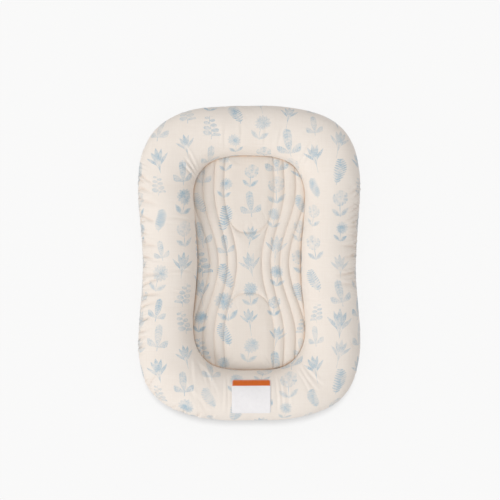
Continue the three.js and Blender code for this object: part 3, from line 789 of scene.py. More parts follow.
def blend_colors(tree, share, low, high):
    """A colour between two: each is a colour or another node's colour socket."""
    mix = tree.nodes.new("ShaderNodeMix")
    mix.data_type = "RGBA"
    tree.links.new(share.socket, mix.inputs["Factor"])
    ends = [socket for socket in mix.inputs if socket.type == "RGBA"]
    for slot, value in zip(ends, (low, high)):
        if isinstance(value, bpy.types.NodeSocket):
            tree.links.new(value, slot)
        else:
            slot.default_value = (*value, 1)
    return [socket for socket in mix.outputs if socket.type == "RGBA"][0]


def raise_surface(tree, shader, height, distance):
    """Feeds a height to the shader's normal: a height of 1 stands out by the distance."""
    bump = tree.nodes.new("ShaderNodeBump")
    bump.inputs["Distance"].default_value = distance
    tree.links.new(height.socket, bump.inputs["Height"])
    tree.links.new(bump.outputs["Normal"], shader.inputs["Normal"])


def cloth_vector(tree):
    """The place on the flat cloth, from the piece's UV map."""
    source = tree.nodes.new("ShaderNodeUVMap")
    source.uv_map = "cloth"
    return source.outputs["UV"]


def object_vector(tree):
    return tree.nodes.new("ShaderNodeTexCoord").outputs["Object"]


def mark(mesh, name, values):
    """Gives each vertex a number, or three, as the piece's own attribute."""
    values = np.asarray(values, np.float32)
    kind, field = ("FLOAT", "value") if values.ndim == 1 else ("FLOAT_VECTOR", "vector")
    layer = mesh.attributes.new(name, kind, "POINT")
    layer.data.foreach_set(field, values.ravel())


def marked(tree, name, output="Fac"):
    """Reads a piece's own attribute. Where the piece has none of that name, it is 0."""
    source = tree.nodes.new("ShaderNodeAttribute")
    source.attribute_name = name
    return source.outputs[output]


thread_relief = 0.00006
crumple_relief = 5
gather_relief = 120
gather_fineness = 190
# Painted shade: brown for creases and seams, tan for the valleys of puckers and fine gathered lines, and how
# strong it gets
crease_shade_brown = (0.850, 0.520, 0.270)
gather_shade_tan = (0.660, 0.500, 0.400)
fine_gather_shade = 0.14
pucker_shade = 0.25
deepest_tint = 0.4


def woven_cloth(name, light, dark, thread, roughness=0.85, print_group=None, ink_color=None):
    """Plain-weave cloth in two close tones. Printed cloth gets painted shade: brown in the creases
    that its piece marks, and where its piece is gathered, it is drawn into fine lines with tan
    painted shade in their valleys."""
    material, tree, shader = new_material(name, roughness, sheen=0.08)
    place = cloth_vector(tree)
    threads = place_group(tree, weave, place, Thread=thread)
    tone = Signal(tree, threads.outputs["Tone"])
    cloud = mottle(tree, object_vector(tree), 22, 3.0)
    color = blend_colors(tree, (tone * 0.9 + cloud).most(0).least(1), light, dark)
    crumple = mottle(tree, object_vector(tree), 95, 2.0)
    height = Signal(tree, threads.outputs["Height"]) + crumple * crumple_relief
    if print_group is not None:
        printed = Signal(tree, place_group(tree, print_group, place).outputs["Ink"])
        color = blend_colors(tree, printed * 0.95, color, ink_color)
        # Painted shade from the piece's marks: tan in the valleys of its gathered lines and puckers, brown
        # along its creases
        drawn_in = Signal(tree, marked(tree, "gather_share"))
        lines = mottle(tree, marked(tree, "gather_run", "Vector"), gather_fineness, 1.0)
        fine_valleys = ((0.52 - lines) * 6).most(0).least(1) * drawn_in
        valleys = fine_valleys * fine_gather_shade + Signal(tree, marked(tree, "gather_valley")) * pucker_shade
        color = blend_colors(tree, valleys.least(deepest_tint), color, gather_shade_tan)
        color = blend_colors(tree, Signal(tree, marked(tree, "crease")), color, crease_shade_brown)
        height = height + lines * drawn_in * gather_relief
    tree.links.new(color, shader.inputs["Base Color"])
    raise_surface(tree, shader, height, thread_relief)
    return material


cream_light = (0.868, 0.806, 0.748)
cream_dark = (0.826, 0.754, 0.688)
soft_blue = (0.300, 0.465, 0.582)
printed_cotton = woven_cloth("printed_cotton", cream_light, cream_dark, 0.00045, 0.85, plants, soft_blue)
# Painted shade: the cloth is browned along the crease by the pad's edge and along the outer seam
crease_width, crease_shade_tint = 0.0032, 0.6
seam_width, seam_shade_tint = 0.0016, 0.35
near_crease = crease_shade_tint * np.exp(-((from_crease / crease_width) ** 2))
near_seam = seam_shade_tint * np.exp(-((from_seam / seam_width) ** 2))

# Between the puckers the cloth is drawn into finer lines, which run up from the seam as they do
gather_slowness = 0.10
gather_top = 0.075
fully_gathered = 70
deepest_valley = 0.0024
crowding = np.array([gathered(place) for place in round_ring[:, 0]])
crowding = np.mean([np.roll(crowding, shift) for shift in range(-6, 7)], axis=0)
gathered_share = np.clip((crowding[:, None] - fewest_puckers) / fully_gathered, 0, 1)
places_round = np.broadcast_to(crown_plan[:, None, :2], (*from_seam.shape, 2))
place_of = places_in_band(cover_top.data)
# The crease and gather_valley marks carry painted shade: brown along the crease and seam, tan in the pucker
# valleys
for name, values in (
    ("crease", near_crease + near_seam),
    ("gather_valley", np.clip(-gather_lift / deepest_valley, 0, 1)),
    ("gather_share", gathered_share * (1 - smooth_step(from_seam / gather_top))),
    ("gather_run", np.concatenate([places_round, gather_slowness * from_seam[..., None]], axis=-1)),
):
    on_top = values[:, seam_row:]
    mark(cover_top.data, name, on_top.reshape(-1, *on_top.shape[2:])[place_of])
cover_top.data.materials.append(printed_cotton)
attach(cover_top, "lounger")
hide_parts("cover_ring_top")


# The underside: one panel of unprinted cotton from the outer seam under the ring, flat across the middle
# above the floor, with a slot for the zip. Its cloth lies slack there, and its slot's edge is turned in and
# sewn to the tapes.
slot_half_width = 0.008
slot_half_length = 0.1644
slot_power = 12
flat_rows = 24
slack = 0.0016
slack_size = 0.07
under_places = skin[:, : seam_row + 1].copy()
under_places[:, -1] += seam_half_gap_share * (under_places[:, -2] - under_places[:, -1])
lifted_edge = under_places[:, 0]
slot_edge = squircle(crown_turns, slot_power, slot_power) * [slot_half_width, slot_half_length]
slot_edge = np.concatenate([slot_edge, np.full((len(slot_edge), 1), underside_height)], axis=1)
shares = np.linspace(0, 1, flat_rows + 1)[None, :-1, None]
flat_places = slot_edge[:, None] + shares * (lifted_edge - slot_edge)[:, None]
sag = slack * lumps(flat_places, slack_size, 5) * np.sin(math.pi * shares[..., 0]) ** 0.8
flat_places[..., 2] += sag
under_places = np.concatenate([flat_places, under_places], axis=1)
cover_under = lay_band("underside_cloth", under_places, under_places[..., :2])
give_thickness(cover_under, cover_cloth)
plain_light = (0.835, 0.775, 0.700)
plain_dark = (0.780, 0.715, 0.635)
plain_cotton = woven_cloth("plain_cotton", plain_light, plain_dark, 0.0005)
cover_under.data.materials.append(plain_cotton)
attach(cover_under, "lounger")
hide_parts("cover_underside")


# The care patch: a bare piece of white satin with a plain orange end, sewn on over the crown of the foot
# arm with a line of stitches just inside its edge. It is a little stiffer than the cover's cloth, so it
# bridges small folds.
patch_width = 0.083
patch_length = 0.0755
patch_middle = (0.0045, 0.0026)
patch_corner = 0.0042
patch_cloth = 0.0006
patch_lift = 0.0004
patch_cells = (36, 40)
foot_phi = -math.pi / 2
arm_angles = np.linspace(0, math.pi, 800)
arm_section = ring_place(np.full_like(arm_angles, foot_phi), arm_angles)
arm_reached = reach_along(arm_section)
arm_middle = arm_reached[-1] / 2 + patch_middle[1]
skin_surface = BVHTree.FromObject(cover_top, bpy.context.evaluated_depsgraph_get())
high_above = 0.3
straight_down = Vector((0, 0, -1))


def on_skin(x, y):
    """The height of the cover's cloth under a place in plan."""
    return skin_surface.ray_cast(Vector((x, y, high_above)), straight_down)[0].z


bm = bmesh.new()
bmesh.ops.create_grid(bm, x_segments=patch_cells[0], y_segments=patch_cells[1], size=0.5)
patch_plan = {}
for vertex in bm.verts:
    row_share = vertex.co.y + 0.5
    along = patch_length * (0.4 * row_share + 0.3 * (1 - math.cos(math.pi * row_share)))
    from_end = min(along, patch_length - along, patch_corner)
    cut = patch_corner - math.sqrt(patch_corner ** 2 - (patch_corner - from_end) ** 2)
    x = patch_middle[0] + 2 * vertex.co.x * (patch_width / 2 - cut)
    y = np.interp(arm_middle - patch_length / 2 + along, arm_reached, arm_section[:, 1])
    patch_plan[vertex.index] = (x - patch_middle[0], along - patch_length / 2)
    vertex.co = (x, y, on_skin(x, y))
bm.verts.ensure_lookup_table()
bridged = [vertex.co.z for vertex in bm.verts]
for _ in range(3):
    around = [[edge.other_vert(vertex).index for edge in vertex.link_edges] for vertex in bm.verts]
    bridged = [max(z, sum(bridged[i] for i in near) / len(near)) for z, near in zip(bridged, around)]
for vertex, z in zip(bm.verts, bridged):
    vertex.co.z = z + patch_lift + patch_cloth
care_patch = finish_piece("care_patch_satin", bm)
print_cloth(care_patch.data, np.array([patch_plan[i] for i in range(len(patch_plan))]))
give_thickness(care_patch, patch_cloth)

# Its orange end is printed with round corners and a slightly ragged edge
band_edge = 0.0240
band_inset = 0.0010
band_end_inset = 0.0002
band_corner = 0.0045
band_blur = 0.0003
band_raggedness = 0.0006
satin_thread = 0.00028
satin_relief = 0.00003
satin_rumple = 14
satin_shine = 0.18
white_light, white_dark = (0.900, 0.890, 0.905), (0.830, 0.815, 0.835)
orange_light, orange_dark = (0.700, 0.150, 0.023), (0.610, 0.127, 0.020)
satin, tree, shader = new_material("satin", 0.55)
shader.inputs["Specular IOR Level"].default_value = satin_shine
place = cloth_vector(tree)
across, along, _ = parts_of(tree, place)
threads = place_group(tree, weave, place, Thread=satin_thread)
wash = mottle(tree, place, 120, 3.0)
white = blend_colors(tree, wash, white_light, white_dark)
orange = blend_colors(tree, wash, orange_light, orange_dark)
ragged = mottle(tree, place, 900, 1.0) * band_raggedness
beside = (across.size() - (patch_width / 2 - band_inset - band_corner)).most(0)
beyond = (along - (patch_length / 2 - band_end_inset - band_corner)).most(0)
in_band = (beside.squared() + beyond.squared()).root().under(band_corner, band_blur)
band = in_band * (1 - (along + ragged).under(band_edge, band_blur))
tree.links.new(blend_colors(tree, band, white, orange), shader.inputs["Base Color"])
rumple = mottle(tree, place, 70, 2.0)
raise_surface(tree, shader, Signal(tree, threads.outputs["Height"]) + rumple * satin_rumple, satin_relief)
care_patch.data.materials.append(satin)
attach(care_patch, "lounger")
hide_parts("care_patch")


# Stitches are sewn along a line of places, each one a short thread pulled down into the cloth at its ends.
# The patch has a line of them just inside each of its four edges.
stitch_length = 0.0028
stitch_gap = 0.0010
thread_width = 0.00055
thread_height = 0.00042
thread_proud = thread_height / 8
stitches_at_a_time = 25


def stitch_places(line):
    """Where each stitch of a line goes: its middle, turn and size as one matrix."""
    line = np.array(line)
    along = reach_along(line)
    count = int(along[-1] / (stitch_length + stitch_gap))
    for number in range(count):
        middle = (number + 0.5) * along[-1] / count
        ends = [[np.interp(middle + way * stitch_length / 2, along, line[:, axis]) for axis in range(3)]
                for way in (-1, 1)]
        start, end = (Vector(point) for point in ends)
        turn = (end - start).to_track_quat("X", "Z")
        size = Vector(((end - start).length / 2, thread_width / 2, thread_height / 2))
        yield Matrix.LocRotScale((start + end) / 2, turn, size)


def sew(name, lines, material):
    """Stitches along lines of places in space, as one piece, made a few at a time, which is quicker."""
    places = [matrix for line in lines for matrix in stitch_places(line)]
    sewn = bmesh.new()
    for first in range(0, len(places), stitches_at_a_time):
        bm = bmesh.new()
        for matrix in places[first: first + stitches_at_a_time]:
            bmesh.ops.create_uvsphere(bm, u_segments=6, v_segments=5, radius=1, matrix=matrix)
        few = bpy.data.meshes.new("few_stitches")
        bm.to_mesh(few)
        bm.free()
        sewn.from_mesh(few)
        bpy.data.meshes.remove(few)
    piece = finish_piece(name, sewn)
    piece.data.materials.append(material)
    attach(piece, "lounger")


twist_length = 0.0004
twist_relief = 0.00004


def thread_material(name, light, dark):
    """Twisted sewing thread."""
    material, tree, shader = new_material(name, 0.6, sheen=0.1)
    x, y, z = parts_of(tree, object_vector(tree))
    twist = ((x + y + z) * (2 * math.pi / twist_length)).wave() * 0.5 + 0.5
    tree.links.new(blend_colors(tree, twist, light, dark), shader.inputs["Base Color"])
    raise_surface(tree, shader, twist, twist_relief)
    return material


patch_thread = thread_material("white_thread", (0.86, 0.85, 0.86), (0.70, 0.69, 0.70))
stitch_inset = 0.0022
patch_surface = BVHTree.FromObject(care_patch, bpy.context.evaluated_depsgraph_get())
half_x = patch_width / 2 - stitch_inset
near_y, far_y = (
    np.interp(arm_middle + way * (patch_length / 2 - stitch_inset), arm_reached, arm_section[:, 1])
    for way in (1, -1)
)
corners = [(-half_x, near_y), (half_x, near_y), (half_x, far_y), (-half_x, far_y)]
patch_lines = []
for (x0, y0), (x1, y1) in zip(corners, corners[1:] + corners[:1]):
    line = []
    for share in np.linspace(0, 1, 40):
        x = patch_middle[0] + x0 + (x1 - x0) * share
        y = y0 + (y1 - y0) * share
        hit = patch_surface.ray_cast(Vector((x, y, high_above)), straight_down)[0]
        line.append((x, y, hit.z + thread_proud))
    patch_lines.append(line)
sew("care_patch_stitches", patch_lines, patch_thread)


# The pad's face: printed cotton quilted through wadding. Four lines of stitching a side run from head to
# foot, closest at the waist, and a curve of stitching closes an oval at each end. Between the lines the
# wadding swells the cloth.
casing_depth = 0.0016
pad_overlap_share = 0.66
face_underside = 0.0313
stitching_level = 0.0343
shoulder_distance = 0.163
line_end_draw = 0.004
line_waist_shares = (0.235, 0.41, 0.587, 0.756)
line_shoulder_shares = (0.425, 0.59, 0.782, 0.955)
oval_tip_distance = 0.066
oval_widest_distance = 0.190
oval_power = 2.8
quilt_cell = 0.0024
stitch_step = 0.0020
beside_seam = 0.00125
groove_height = 0.0019
groove_reach = 0.0009
puff_height = 0.0038
puff_reach = 0.0055


def casing_wall(phi, height):
    return ring_place(phi, np.full_like(phi, math.pi + dip(height)), casing_depth)[..., :2]


def pad_outline(phi):
    well = well_outline(phi)
    return well + pad_overlap_share * (casing_wall(phi, stitching_level) - well)


pad_edge = pad_outline(even_turns(pad_outline, round(length_round(pad_outline) / stitch_step)))
quarter = pad_outline(np.linspace(0, math.pi / 2, 1500))
pad_half_length = quarter[-1, 1]
pad_side_width = quarter[0, 0] + well_waist


def pad_half_width(y):
    return np.interp(np.abs(y), quarter[:, 1], quarter[:, 0], right=0)


def line_half_width(pair, y):
    """Half the distance between the two stitching lines of a pair, at a distance from mid-length."""
    waist = line_waist_shares[pair] * (pad_side_width - well_waist)
    shoulder = line_shoulder_shares[pair] * pad_side_width
    spread = (1 - np.cos(math.pi * np.minimum(1, np.abs(y) / shoulder_distance))) / 2
    beyond = np.maximum(0, (np.abs(y) - shoulder_distance) / (pad_half_length - shoulder_distance))
    return waist + (shoulder - waist) * spread - line_end_draw * beyond ** 2


def respaced(line, step):
    """The same line with its places a step apart."""
    along = reach_along(line)
    even = np.linspace(0, along[-1], max(2, round(along[-1] / step) + 1))
    return np.stack([np.interp(even, along, line[:, axis]) for axis in (0, 1)], axis=1)


edge_margin = 0.0012
shortest_run = 20
quilting = []
length_places = np.linspace(-pad_half_length, pad_half_length, 3000)
for pair in range(len(line_waist_shares)):
    halves = line_half_width(pair, length_places)
    inside = halves < pad_half_width(length_places) - edge_margin
    breaks = np.flatnonzero(np.diff(inside.astype(int))) + 1
    for run in np.split(np.arange(len(length_places)), breaks):
        if inside[run[0]] and len(run) > shortest_run:
            for way in (-1, 1):
                quilting.append(np.stack([way * halves[run], length_places[run]], axis=1))
oval_turns = np.linspace(0, math.pi / 2, 2000)
oval_along = oval_widest_distance - (oval_widest_distance - oval_tip_distance) * np.cos(oval_turns)
oval_rise = (1 - np.cos(oval_turns) ** oval_power) ** (1 / oval_power)
oval_across = line_shoulder_shares[0] * pad_side_width * oval_rise
free = oval_across < line_half_width(0, oval_along) - edge_margin
last = np.argmin(free) if not free.all() else len(free)
for end in (-1, 1):
    side_run = np.stack([oval_across[:last], end * oval_along[:last]], axis=1)
    quilting.append(np.concatenate([side_run[::-1] * [-1, 1], side_run[1:]]))
quilting = [respaced(line, stitch_step) for line in quilting]

plan_points = [Vector(place) for place in pad_edge]
sewn_edges = [(i, (i + 1) % len(pad_edge)) for i in range(len(pad_edge))]
for line in quilting:
    first = len(plan_points)
    plan_points.extend(Vector(place) for place in line)
    sewn_edges.extend((first + i, first + i + 1) for i in range(len(line) - 1))


def near_tree(points):
    tree = kdtree.KDTree(len(points))
    for number, point in enumerate(points):
        tree.insert((point[0], point[1], 0), number)
    tree.balance()
    return tree


def clearance(tree, place):
    return tree.find((place[0], place[1], 0))[2]


sewn_tree = near_tree(plan_points)
for line in [*quilting, pad_edge]:
    tangent = np.gradient(line, axis=0)
    tangent /= np.linalg.norm(tangent, axis=1, keepdims=True)
    beside = np.stack([-tangent[:, 1], tangent[:, 0]], axis=1)
    for way in (-1, 1):
        for place in line + way * beside_seam * beside:
            inside = abs(place[0]) < pad_half_width(place[1]) - 0.6 * beside_seam
            if inside and clearance(sewn_tree, place) > 0.9 * beside_seam:
                plan_points.append(Vector(place))
filled_tree = near_tree(plan_points)
row_step = quilt_cell * math.sqrt(3) / 2
for number, y in enumerate(np.arange(-pad_half_length, pad_half_length, row_step)):
    half = pad_half_width(y) - beside_seam
    start = -math.ceil(half / quilt_cell) * quilt_cell + (number % 2) * quilt_cell / 2
    for x in np.arange(start, half, quilt_cell):
        if x > -half and clearance(filled_tree, (x, y)) > 0.72 * quilt_cell:
            plan_points.append(Vector((x, y)))
laid = geometry.delaunay_2d_cdt(plan_points, sewn_edges, [], 1, 1e-7)
plan = np.array(laid[0])
stitched = near_tree(np.concatenate([respaced(line, stitch_step / 5) for line in [*quilting, pad_edge]]))
distance = np.array([clearance(stitched, place) for place in plan])
swell = groove_height * (1 - np.exp(-distance / groove_reach))
swell += puff_height * (1 - np.exp(-distance / puff_reach))
bm = bmesh.new()
for (x, y), rise in zip(plan, swell):
    bm.verts.new((x, y, stitching_level + rise))
bm.verts.ensure_lookup_table()
for corners in laid[2]:
    bm.faces.new([bm.verts[i] for i in corners])


def face_up(bm):
    """Turns an open sheet's faces upwards."""
    bmesh.ops.recalc_face_normals(bm, faces=bm.faces)
    if sum(face.normal.z for face in bm.faces) < 0:
        bmesh.ops.reverse_faces(bm, faces=bm.faces)


def only(kind, geom):
    """The vertices or the faces in an operator's result."""
    return [item for item in geom if isinstance(item, kind)]


face_up(bm)
pad_face = finish_piece("pad_face_cloth", bm)
face_mesh = pad_face.data

# The wadding's push on the face, the spare cloth by its stitches, and how far it may sink, rise and shift
face_pressure = 12
face_growth = 0.05
sewn_reach = 0.0002
spare_by_stitching = 0.006
face_sink = 0.0006
face_rise = 0.0014
face_shift = 0.0008
face_start = points_of(pad_face)
spare = np.exp(-((distance / spare_by_stitching) ** 2))
face_moved = fill_out(pad_face, distance < sewn_reach, spare, face_pressure, face_growth) - face_start
face_moved[:, 2] = np.clip(face_moved[:, 2], -face_sink, face_rise)
face_moved[:, :2] = np.clip(face_moved[:, :2], -face_shift, face_shift)
face_mesh.vertices.foreach_set("co", (face_start + face_moved).astype(np.float32).ravel())
face_mesh.update()

# The puckers that the stitching makes beside each line, and its flat underside on the wadding
pad_pucker = 0.00022
pad_pucker_size = 0.0052
pad_pucker_reach = 0.0040
pad_pucker_start = 0.0004
bm = bmesh.new()
bm.from_mesh(face_mesh)
for vertex, gap in zip(bm.verts, distance):
    strength = pad_pucker * math.exp(-gap / pad_pucker_reach) * (gap > pad_pucker_start)
    vertex.co.z += strength * noise.noise(vertex.co / pad_pucker_size)
below = bmesh.ops.extrude_face_region(bm, geom=bm.faces[:], use_keep_orig=True)["geom"]
for vertex in only(bmesh.types.BMVert, below):
    vertex.co.z = face_underside
bmesh.ops.dissolve_faces(bm, faces=only(bmesh.types.BMFace, below), use_verts=True)
bmesh.ops.recalc_face_normals(bm, faces=bm.faces)
bm.to_mesh(face_mesh)
bm.free()
for polygon in face_mesh.polygons:
    polygon.use_smooth = len(polygon.vertices) == 3

# Its print, shifted against the ring's, and painted shade, brown, along its stitching and its edge
print_shift = (0.024, 0.031)
stitch_shade_tint = 0.10
stitch_crease_width = 0.0012
edge_shade_tint = 0.40
edge_crease_width = 0.0034
face_places = points_of(pad_face)[:, :2]
print_cloth(face_mesh, face_places + print_shift)
crease_shade_marks = 0
for tree, tint, width in (
    (near_tree(pad_edge), edge_shade_tint, edge_crease_width),
    (stitched, stitch_shade_tint, stitch_crease_width),
):
    gaps = np.array([clearance(tree, place) for place in face_places])
    crease_shade_marks = crease_shade_marks + tint * np.exp(-((gaps / width) ** 2))
mark(face_mesh, "crease", crease_shade_marks)
# The pad's cloth is the ring's printed cotton painted a little darker: painted shade for its place low in the
# well
pad_shaded_light = (0.822, 0.762, 0.704)
pad_shaded_dark = (0.776, 0.708, 0.645)
quilted_cotton = woven_cloth("quilted_cotton", pad_shaded_light, pad_shaded_dark, 0.00045, 0.85, plants, soft_blue)
pad_face.data.materials.append(quilted_cotton)
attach(pad_face, "lounger")
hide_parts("pad_face")

quilting_thread = thread_material("cream_thread", (0.84, 0.76, 0.67), (0.74, 0.65, 0.55))
thread_level = stitching_level - 0.0001
quilting_lines = [np.insert(line, 2, thread_level, axis=1) for line in quilting]
sew("quilting_stitches", quilting_lines, quilting_thread)


# Under the face lie its wadding of bonded polyester fibre and its plain cotton backing, cut to the same
# outline and caught by the same stitching. The three are joined at their edge.
wadding_low = 0.0214
wadding_high = 0.0310
backing_low = 0.0201
backing_high = 0.0211
wadding_edge = 0.0022
cloth_edge = 0.0003
panel_points = 220


def cut_out(outline, height, filled):
    """An outline at a height: a flat face, or its edges alone."""
    bm = bmesh.new()
    bmesh.ops.create_circle(bm, cap_ends=filled, segments=len(outline), radius=1)
    for vertex in bm.verts:
        turn = math.atan2(vertex.co.y, vertex.co.x) % (2 * math.pi)
        place = outline[round(turn / (2 * math.pi) * len(outline)) % len(outline)]
        vertex.co = (*place, height)
    return bm


def lay_panel(name, outline, low, high, edge_radius, segments=3):
    """A flat panel cut to an outline, with softened edges."""
    bm = cut_out(outline, low, filled=True)
    raised = bmesh.ops.extrude_face_region(bm, geom=bm.faces[:])["geom"]
    bmesh.ops.translate(bm, verts=only(bmesh.types.BMVert, raised), vec=(0, 0, high - low))
    bmesh.ops.recalc_face_normals(bm, faces=bm.faces)
    rims = [edge for edge in bm.edges if any(len(face.verts) > 4 for face in edge.link_faces)]
    bmesh.ops.bevel(
        bm, geom=rims, offset=edge_radius, affect="EDGES", segments=segments, profile=0.5, material=-1)
    for face in bm.faces:
        face.smooth = len(face.verts) == 4
    piece = finish_piece(name, bm, smooth=False)
    print_cloth(piece.data, points_of(piece)[:, :2])
    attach(piece, "lounger")
    return piece


fibre_dark = (0.74, 0.73, 0.70)
fibre_light = (0.90, 0.89, 0.87)
fibre_relief = 0.0006


def fibre_finish():
    """Matted white polyester fibre."""
    material, tree, shader = new_material("fibre", 0.95, sheen=0.2)
    place = object_vector(tree)
    x, y, z = parts_of(tree, place)
    swirl = mottle(tree, place, 60, 3.0)
    strands = mottle(tree, vector_of(tree, x + swirl * 0.02, y * 0.15 + swirl * 0.03, z), 900, 3.0)
    color = blend_colors(tree, strands, fibre_dark, fibre_light)
    tree.links.new(color, shader.inputs["Base Color"])
    raise_surface(tree, shader, strands + swirl, fibre_relief)
    return material


fibre = fibre_finish()
panel_outline = pad_outline(even_turns(pad_outline, panel_points))
pad_wadding = lay_panel("wadding_fibre", panel_outline, wadding_low, wadding_high, wadding_edge)
pad_wadding.data.materials.append(fibre)
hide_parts("pad_wadding")
pad_backing = lay_panel("backing_cloth", panel_outline, backing_low, backing_high, cloth_edge, segments=2)
pad_backing.data.materials.append(plain_cotton)
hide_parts("pad_backing")


# The binding: a strip of plain cotton folded over the raw edges where the pad meets the ring top, down in
# the hollow between the pad's edge and the stuffed ring.
binding_cloth = 0.0012
binding_high = 0.0293
binding_low = 0.0233
binding_width = 0.012
layer_gap = 0.0004
inner_turns = even_turns(well_outline, 320)


def beside_casing(gap, height):
    """Places round the well at a height, a gap inside the casing's wall."""
    wall = casing_wall(inner_turns, binding_high)
    inward = wall - well_outline(inner_turns)
    inward /= np.linalg.norm(inward, axis=-1, keepdims=True)
    return np.concatenate([wall - gap * inward, np.full((len(wall), 1), height)], axis=1)


fold_turns = np.linspace(0, math.pi, 6)
binding_middle = layer_gap + binding_cloth / 2
binding_section = [
    (binding_middle - np.cos(turn) * binding_cloth / 2, binding_high - binding_cloth / 2 * (1 - np.sin(turn)))
    for turn in fold_turns
]
binding_section += [(layer_gap + binding_cloth, binding_low), (layer_gap, binding_low)]
binding_places = np.stack([beside_casing(gap, height) for gap, height in binding_section], axis=1)
binding_along = np.arange(len(inner_turns))[:, None] * crown_length / len(inner_turns)
binding_across = np.linspace(0, binding_width, len(binding_section))[None, :]
binding_plan = np.stack(np.broadcast_arrays(binding_along, binding_across), axis=-1)
binding = lay_band("binding_tape", binding_places, binding_plan, closed_section=True)
bm = bmesh.new()
bm.from_mesh(binding.data)
bmesh.ops.recalc_face_normals(bm, faces=bm.faces)
bm.to_mesh(binding.data)
bm.free()
binding.data.materials.append(plain_cotton)
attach(binding, "lounger")
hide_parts("seam_binding")


# The insert: polyester filling in a calico casing of two rings sewn together at their outer and inner
# edges, and a calico sling sewn across the inner seam, which carries the pad.
sling_low = 0.0188
sling_cloth = 0.0010
casing_cloth = 0.0008
casing_behind = 0.0022
filling_behind = 0.0037
coarse = skin[::2, ::2]
coarse_facing = facing(coarse)
hidden_angles = np.linspace(crease, math.pi + dip(underside_height), 7)[1:-1]
hidden_turns = crown_turns[::2]


def inner_skin(depth):
    """The section at a depth under the cover: what the skin covers, and the wall behind the pad's edge."""
    followed = coarse - depth * coarse_facing
    followed[..., 2] = np.maximum(followed[..., 2], depth)
    hidden = ring_place(hidden_turns[:, None], hidden_angles[None, :], depth)
    return np.concatenate([followed, hidden], axis=1)


sling_angle = math.pi + dip(sling_low + sling_cloth / 2)
hidden_to_sling = int(np.searchsorted(hidden_angles, sling_angle))
coarse_rows = coarse.shape[1]
calico = woven_cloth("calico", (0.780, 0.705, 0.590), (0.700, 0.620, 0.500), 0.0006, 0.9)
casing = inner_skin(casing_behind)
sling_row = coarse_rows + hidden_to_sling
upper = casing[:, under_rows: sling_row + 1]
lower_rows = np.concatenate([np.arange(sling_row, casing.shape[1]), np.arange(under_rows + 1)])
lower = casing[:, lower_rows]
for name, node, half in (
    ("casing_top_cloth", "casing_top", upper),
    ("casing_bottom_cloth", "casing_bottom", lower),
):
    places = half.copy()
    places[:, 0] += seam_half_gap_share * (places[:, 1] - places[:, 0])
    places[:, -1] += seam_half_gap_share * (places[:, -2] - places[:, -1])
    piece = lay_band(name, places, places[..., :2])
    give_thickness(piece, casing_cloth)
    piece.data.materials.append(calico)
    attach(piece, "lounger")
    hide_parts(node)

filling = lay_band("filling_fibre", inner_skin(filling_behind)[::2, ::2], closed_section=True)
smooth = filling.modifiers.new("smooth", "SUBSURF")
smooth.levels = 1
smooth.render_levels = 1
filling.data.materials.append(fibre)
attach(filling, "lounger")
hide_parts("fibre_filling")

sling_gap = 0.0009
sling_turns = even_turns(well_outline, panel_points)
wall = ring_place(sling_turns, np.full_like(sling_turns, sling_angle), casing_behind)[:, :2]
sling_outline = wall * (1 - sling_gap / np.linalg.norm(wall, axis=1, keepdims=True))
sling_high = sling_low + sling_cloth
sling = lay_panel("sling_cloth", sling_outline, sling_low, sling_high, cloth_edge, segments=2)
sling.data.materials.append(calico)
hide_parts("sling_panel")


# The zip's tapes: two strips of herringbone-woven polyester behind the edges of the underside's slot. Each
# is held by two rows of stitches through the underside.
tape_half_cell = 0.0009
tape_twill = 0.0008
tape_relief = 0.00012
tape_light = (0.80, 0.74, 0.66)
tape_dark = (0.70, 0.63, 0.55)
tape_edge = 0.00022


def tape_finish():
    """Herringbone twill: its slant turns round at each half cell, with a valley between them."""
    material, tree, shader = new_material("zip_tape", 0.7, sheen=0.05)
    place = object_vector(tree)
    x, y, _ = parts_of(tree, place)
    ribs = (x / tape_half_cell).part()
    slant = ((x / tape_half_cell).through("FLOORED_MODULO", 2) - 1).through("SIGN")
    twill = ((y + x * slant) * (2 * math.pi / tape_twill)).wave() * 0.5 + 0.5
    valley = (ribs - 0.5).size().under(0.42, 0.06)
    soil = mottle(tree, place, 40, 3.0)
    color = blend_colors(tree, soil * 0.5 + twill * 0.4, tape_light, tape_dark)
    tree.links.new(color, shader.inputs["Base Color"])
    raise_surface(tree, shader, twill * 0.6 + valley * 0.6, tape_relief)
    return material


zip_tape = tape_finish()
for node in ("zip_tape_left", "zip_tape_right"):
    low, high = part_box(node)
    bm = bmesh.new()
    bmesh.ops.create_cube(bm, size=1)
    bmesh.ops.scale(bm, verts=bm.verts, vec=high - low)
    bmesh.ops.translate(bm, verts=bm.verts, vec=(low + high) / 2)
    long_edges = [edge for edge in bm.edges if abs((edge.verts[0].co - edge.verts[1].co).y) > high.x - low.x]
    bmesh.ops.bevel(
        bm, geom=long_edges, offset=tape_edge, affect="EDGES", segments=2, profile=0.5, material=-1)
    bmesh.ops.recalc_face_normals(bm, faces=bm.faces)
    tape = finish_piece(node + "_weave", bm, smooth=False)
    tape.data.materials.append(zip_tape)
    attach(tape, "lounger")
    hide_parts(node)

slot_seam_insets = (0.0022, 0.0072)
slot_lines = []
slot_surface = BVHTree.FromObject(cover_under, bpy.context.evaluated_depsgraph_get())
for inset in slot_seam_insets:
    around = squircle(np.linspace(0, 2 * math.pi, 1200), slot_power, slot_power)
    around = around * [slot_half_width + inset, slot_half_length + inset]
    line = []
    for x, y in respaced(around, stitch_step):
        hit = slot_surface.ray_cast(Vector((x, y, -high_above)), -straight_down)[0]
        line.append((x, y, hit.z - thread_proud))
    slot_lines.append(line)
sew("zip_stitches", slot_lines, quilting_thread)


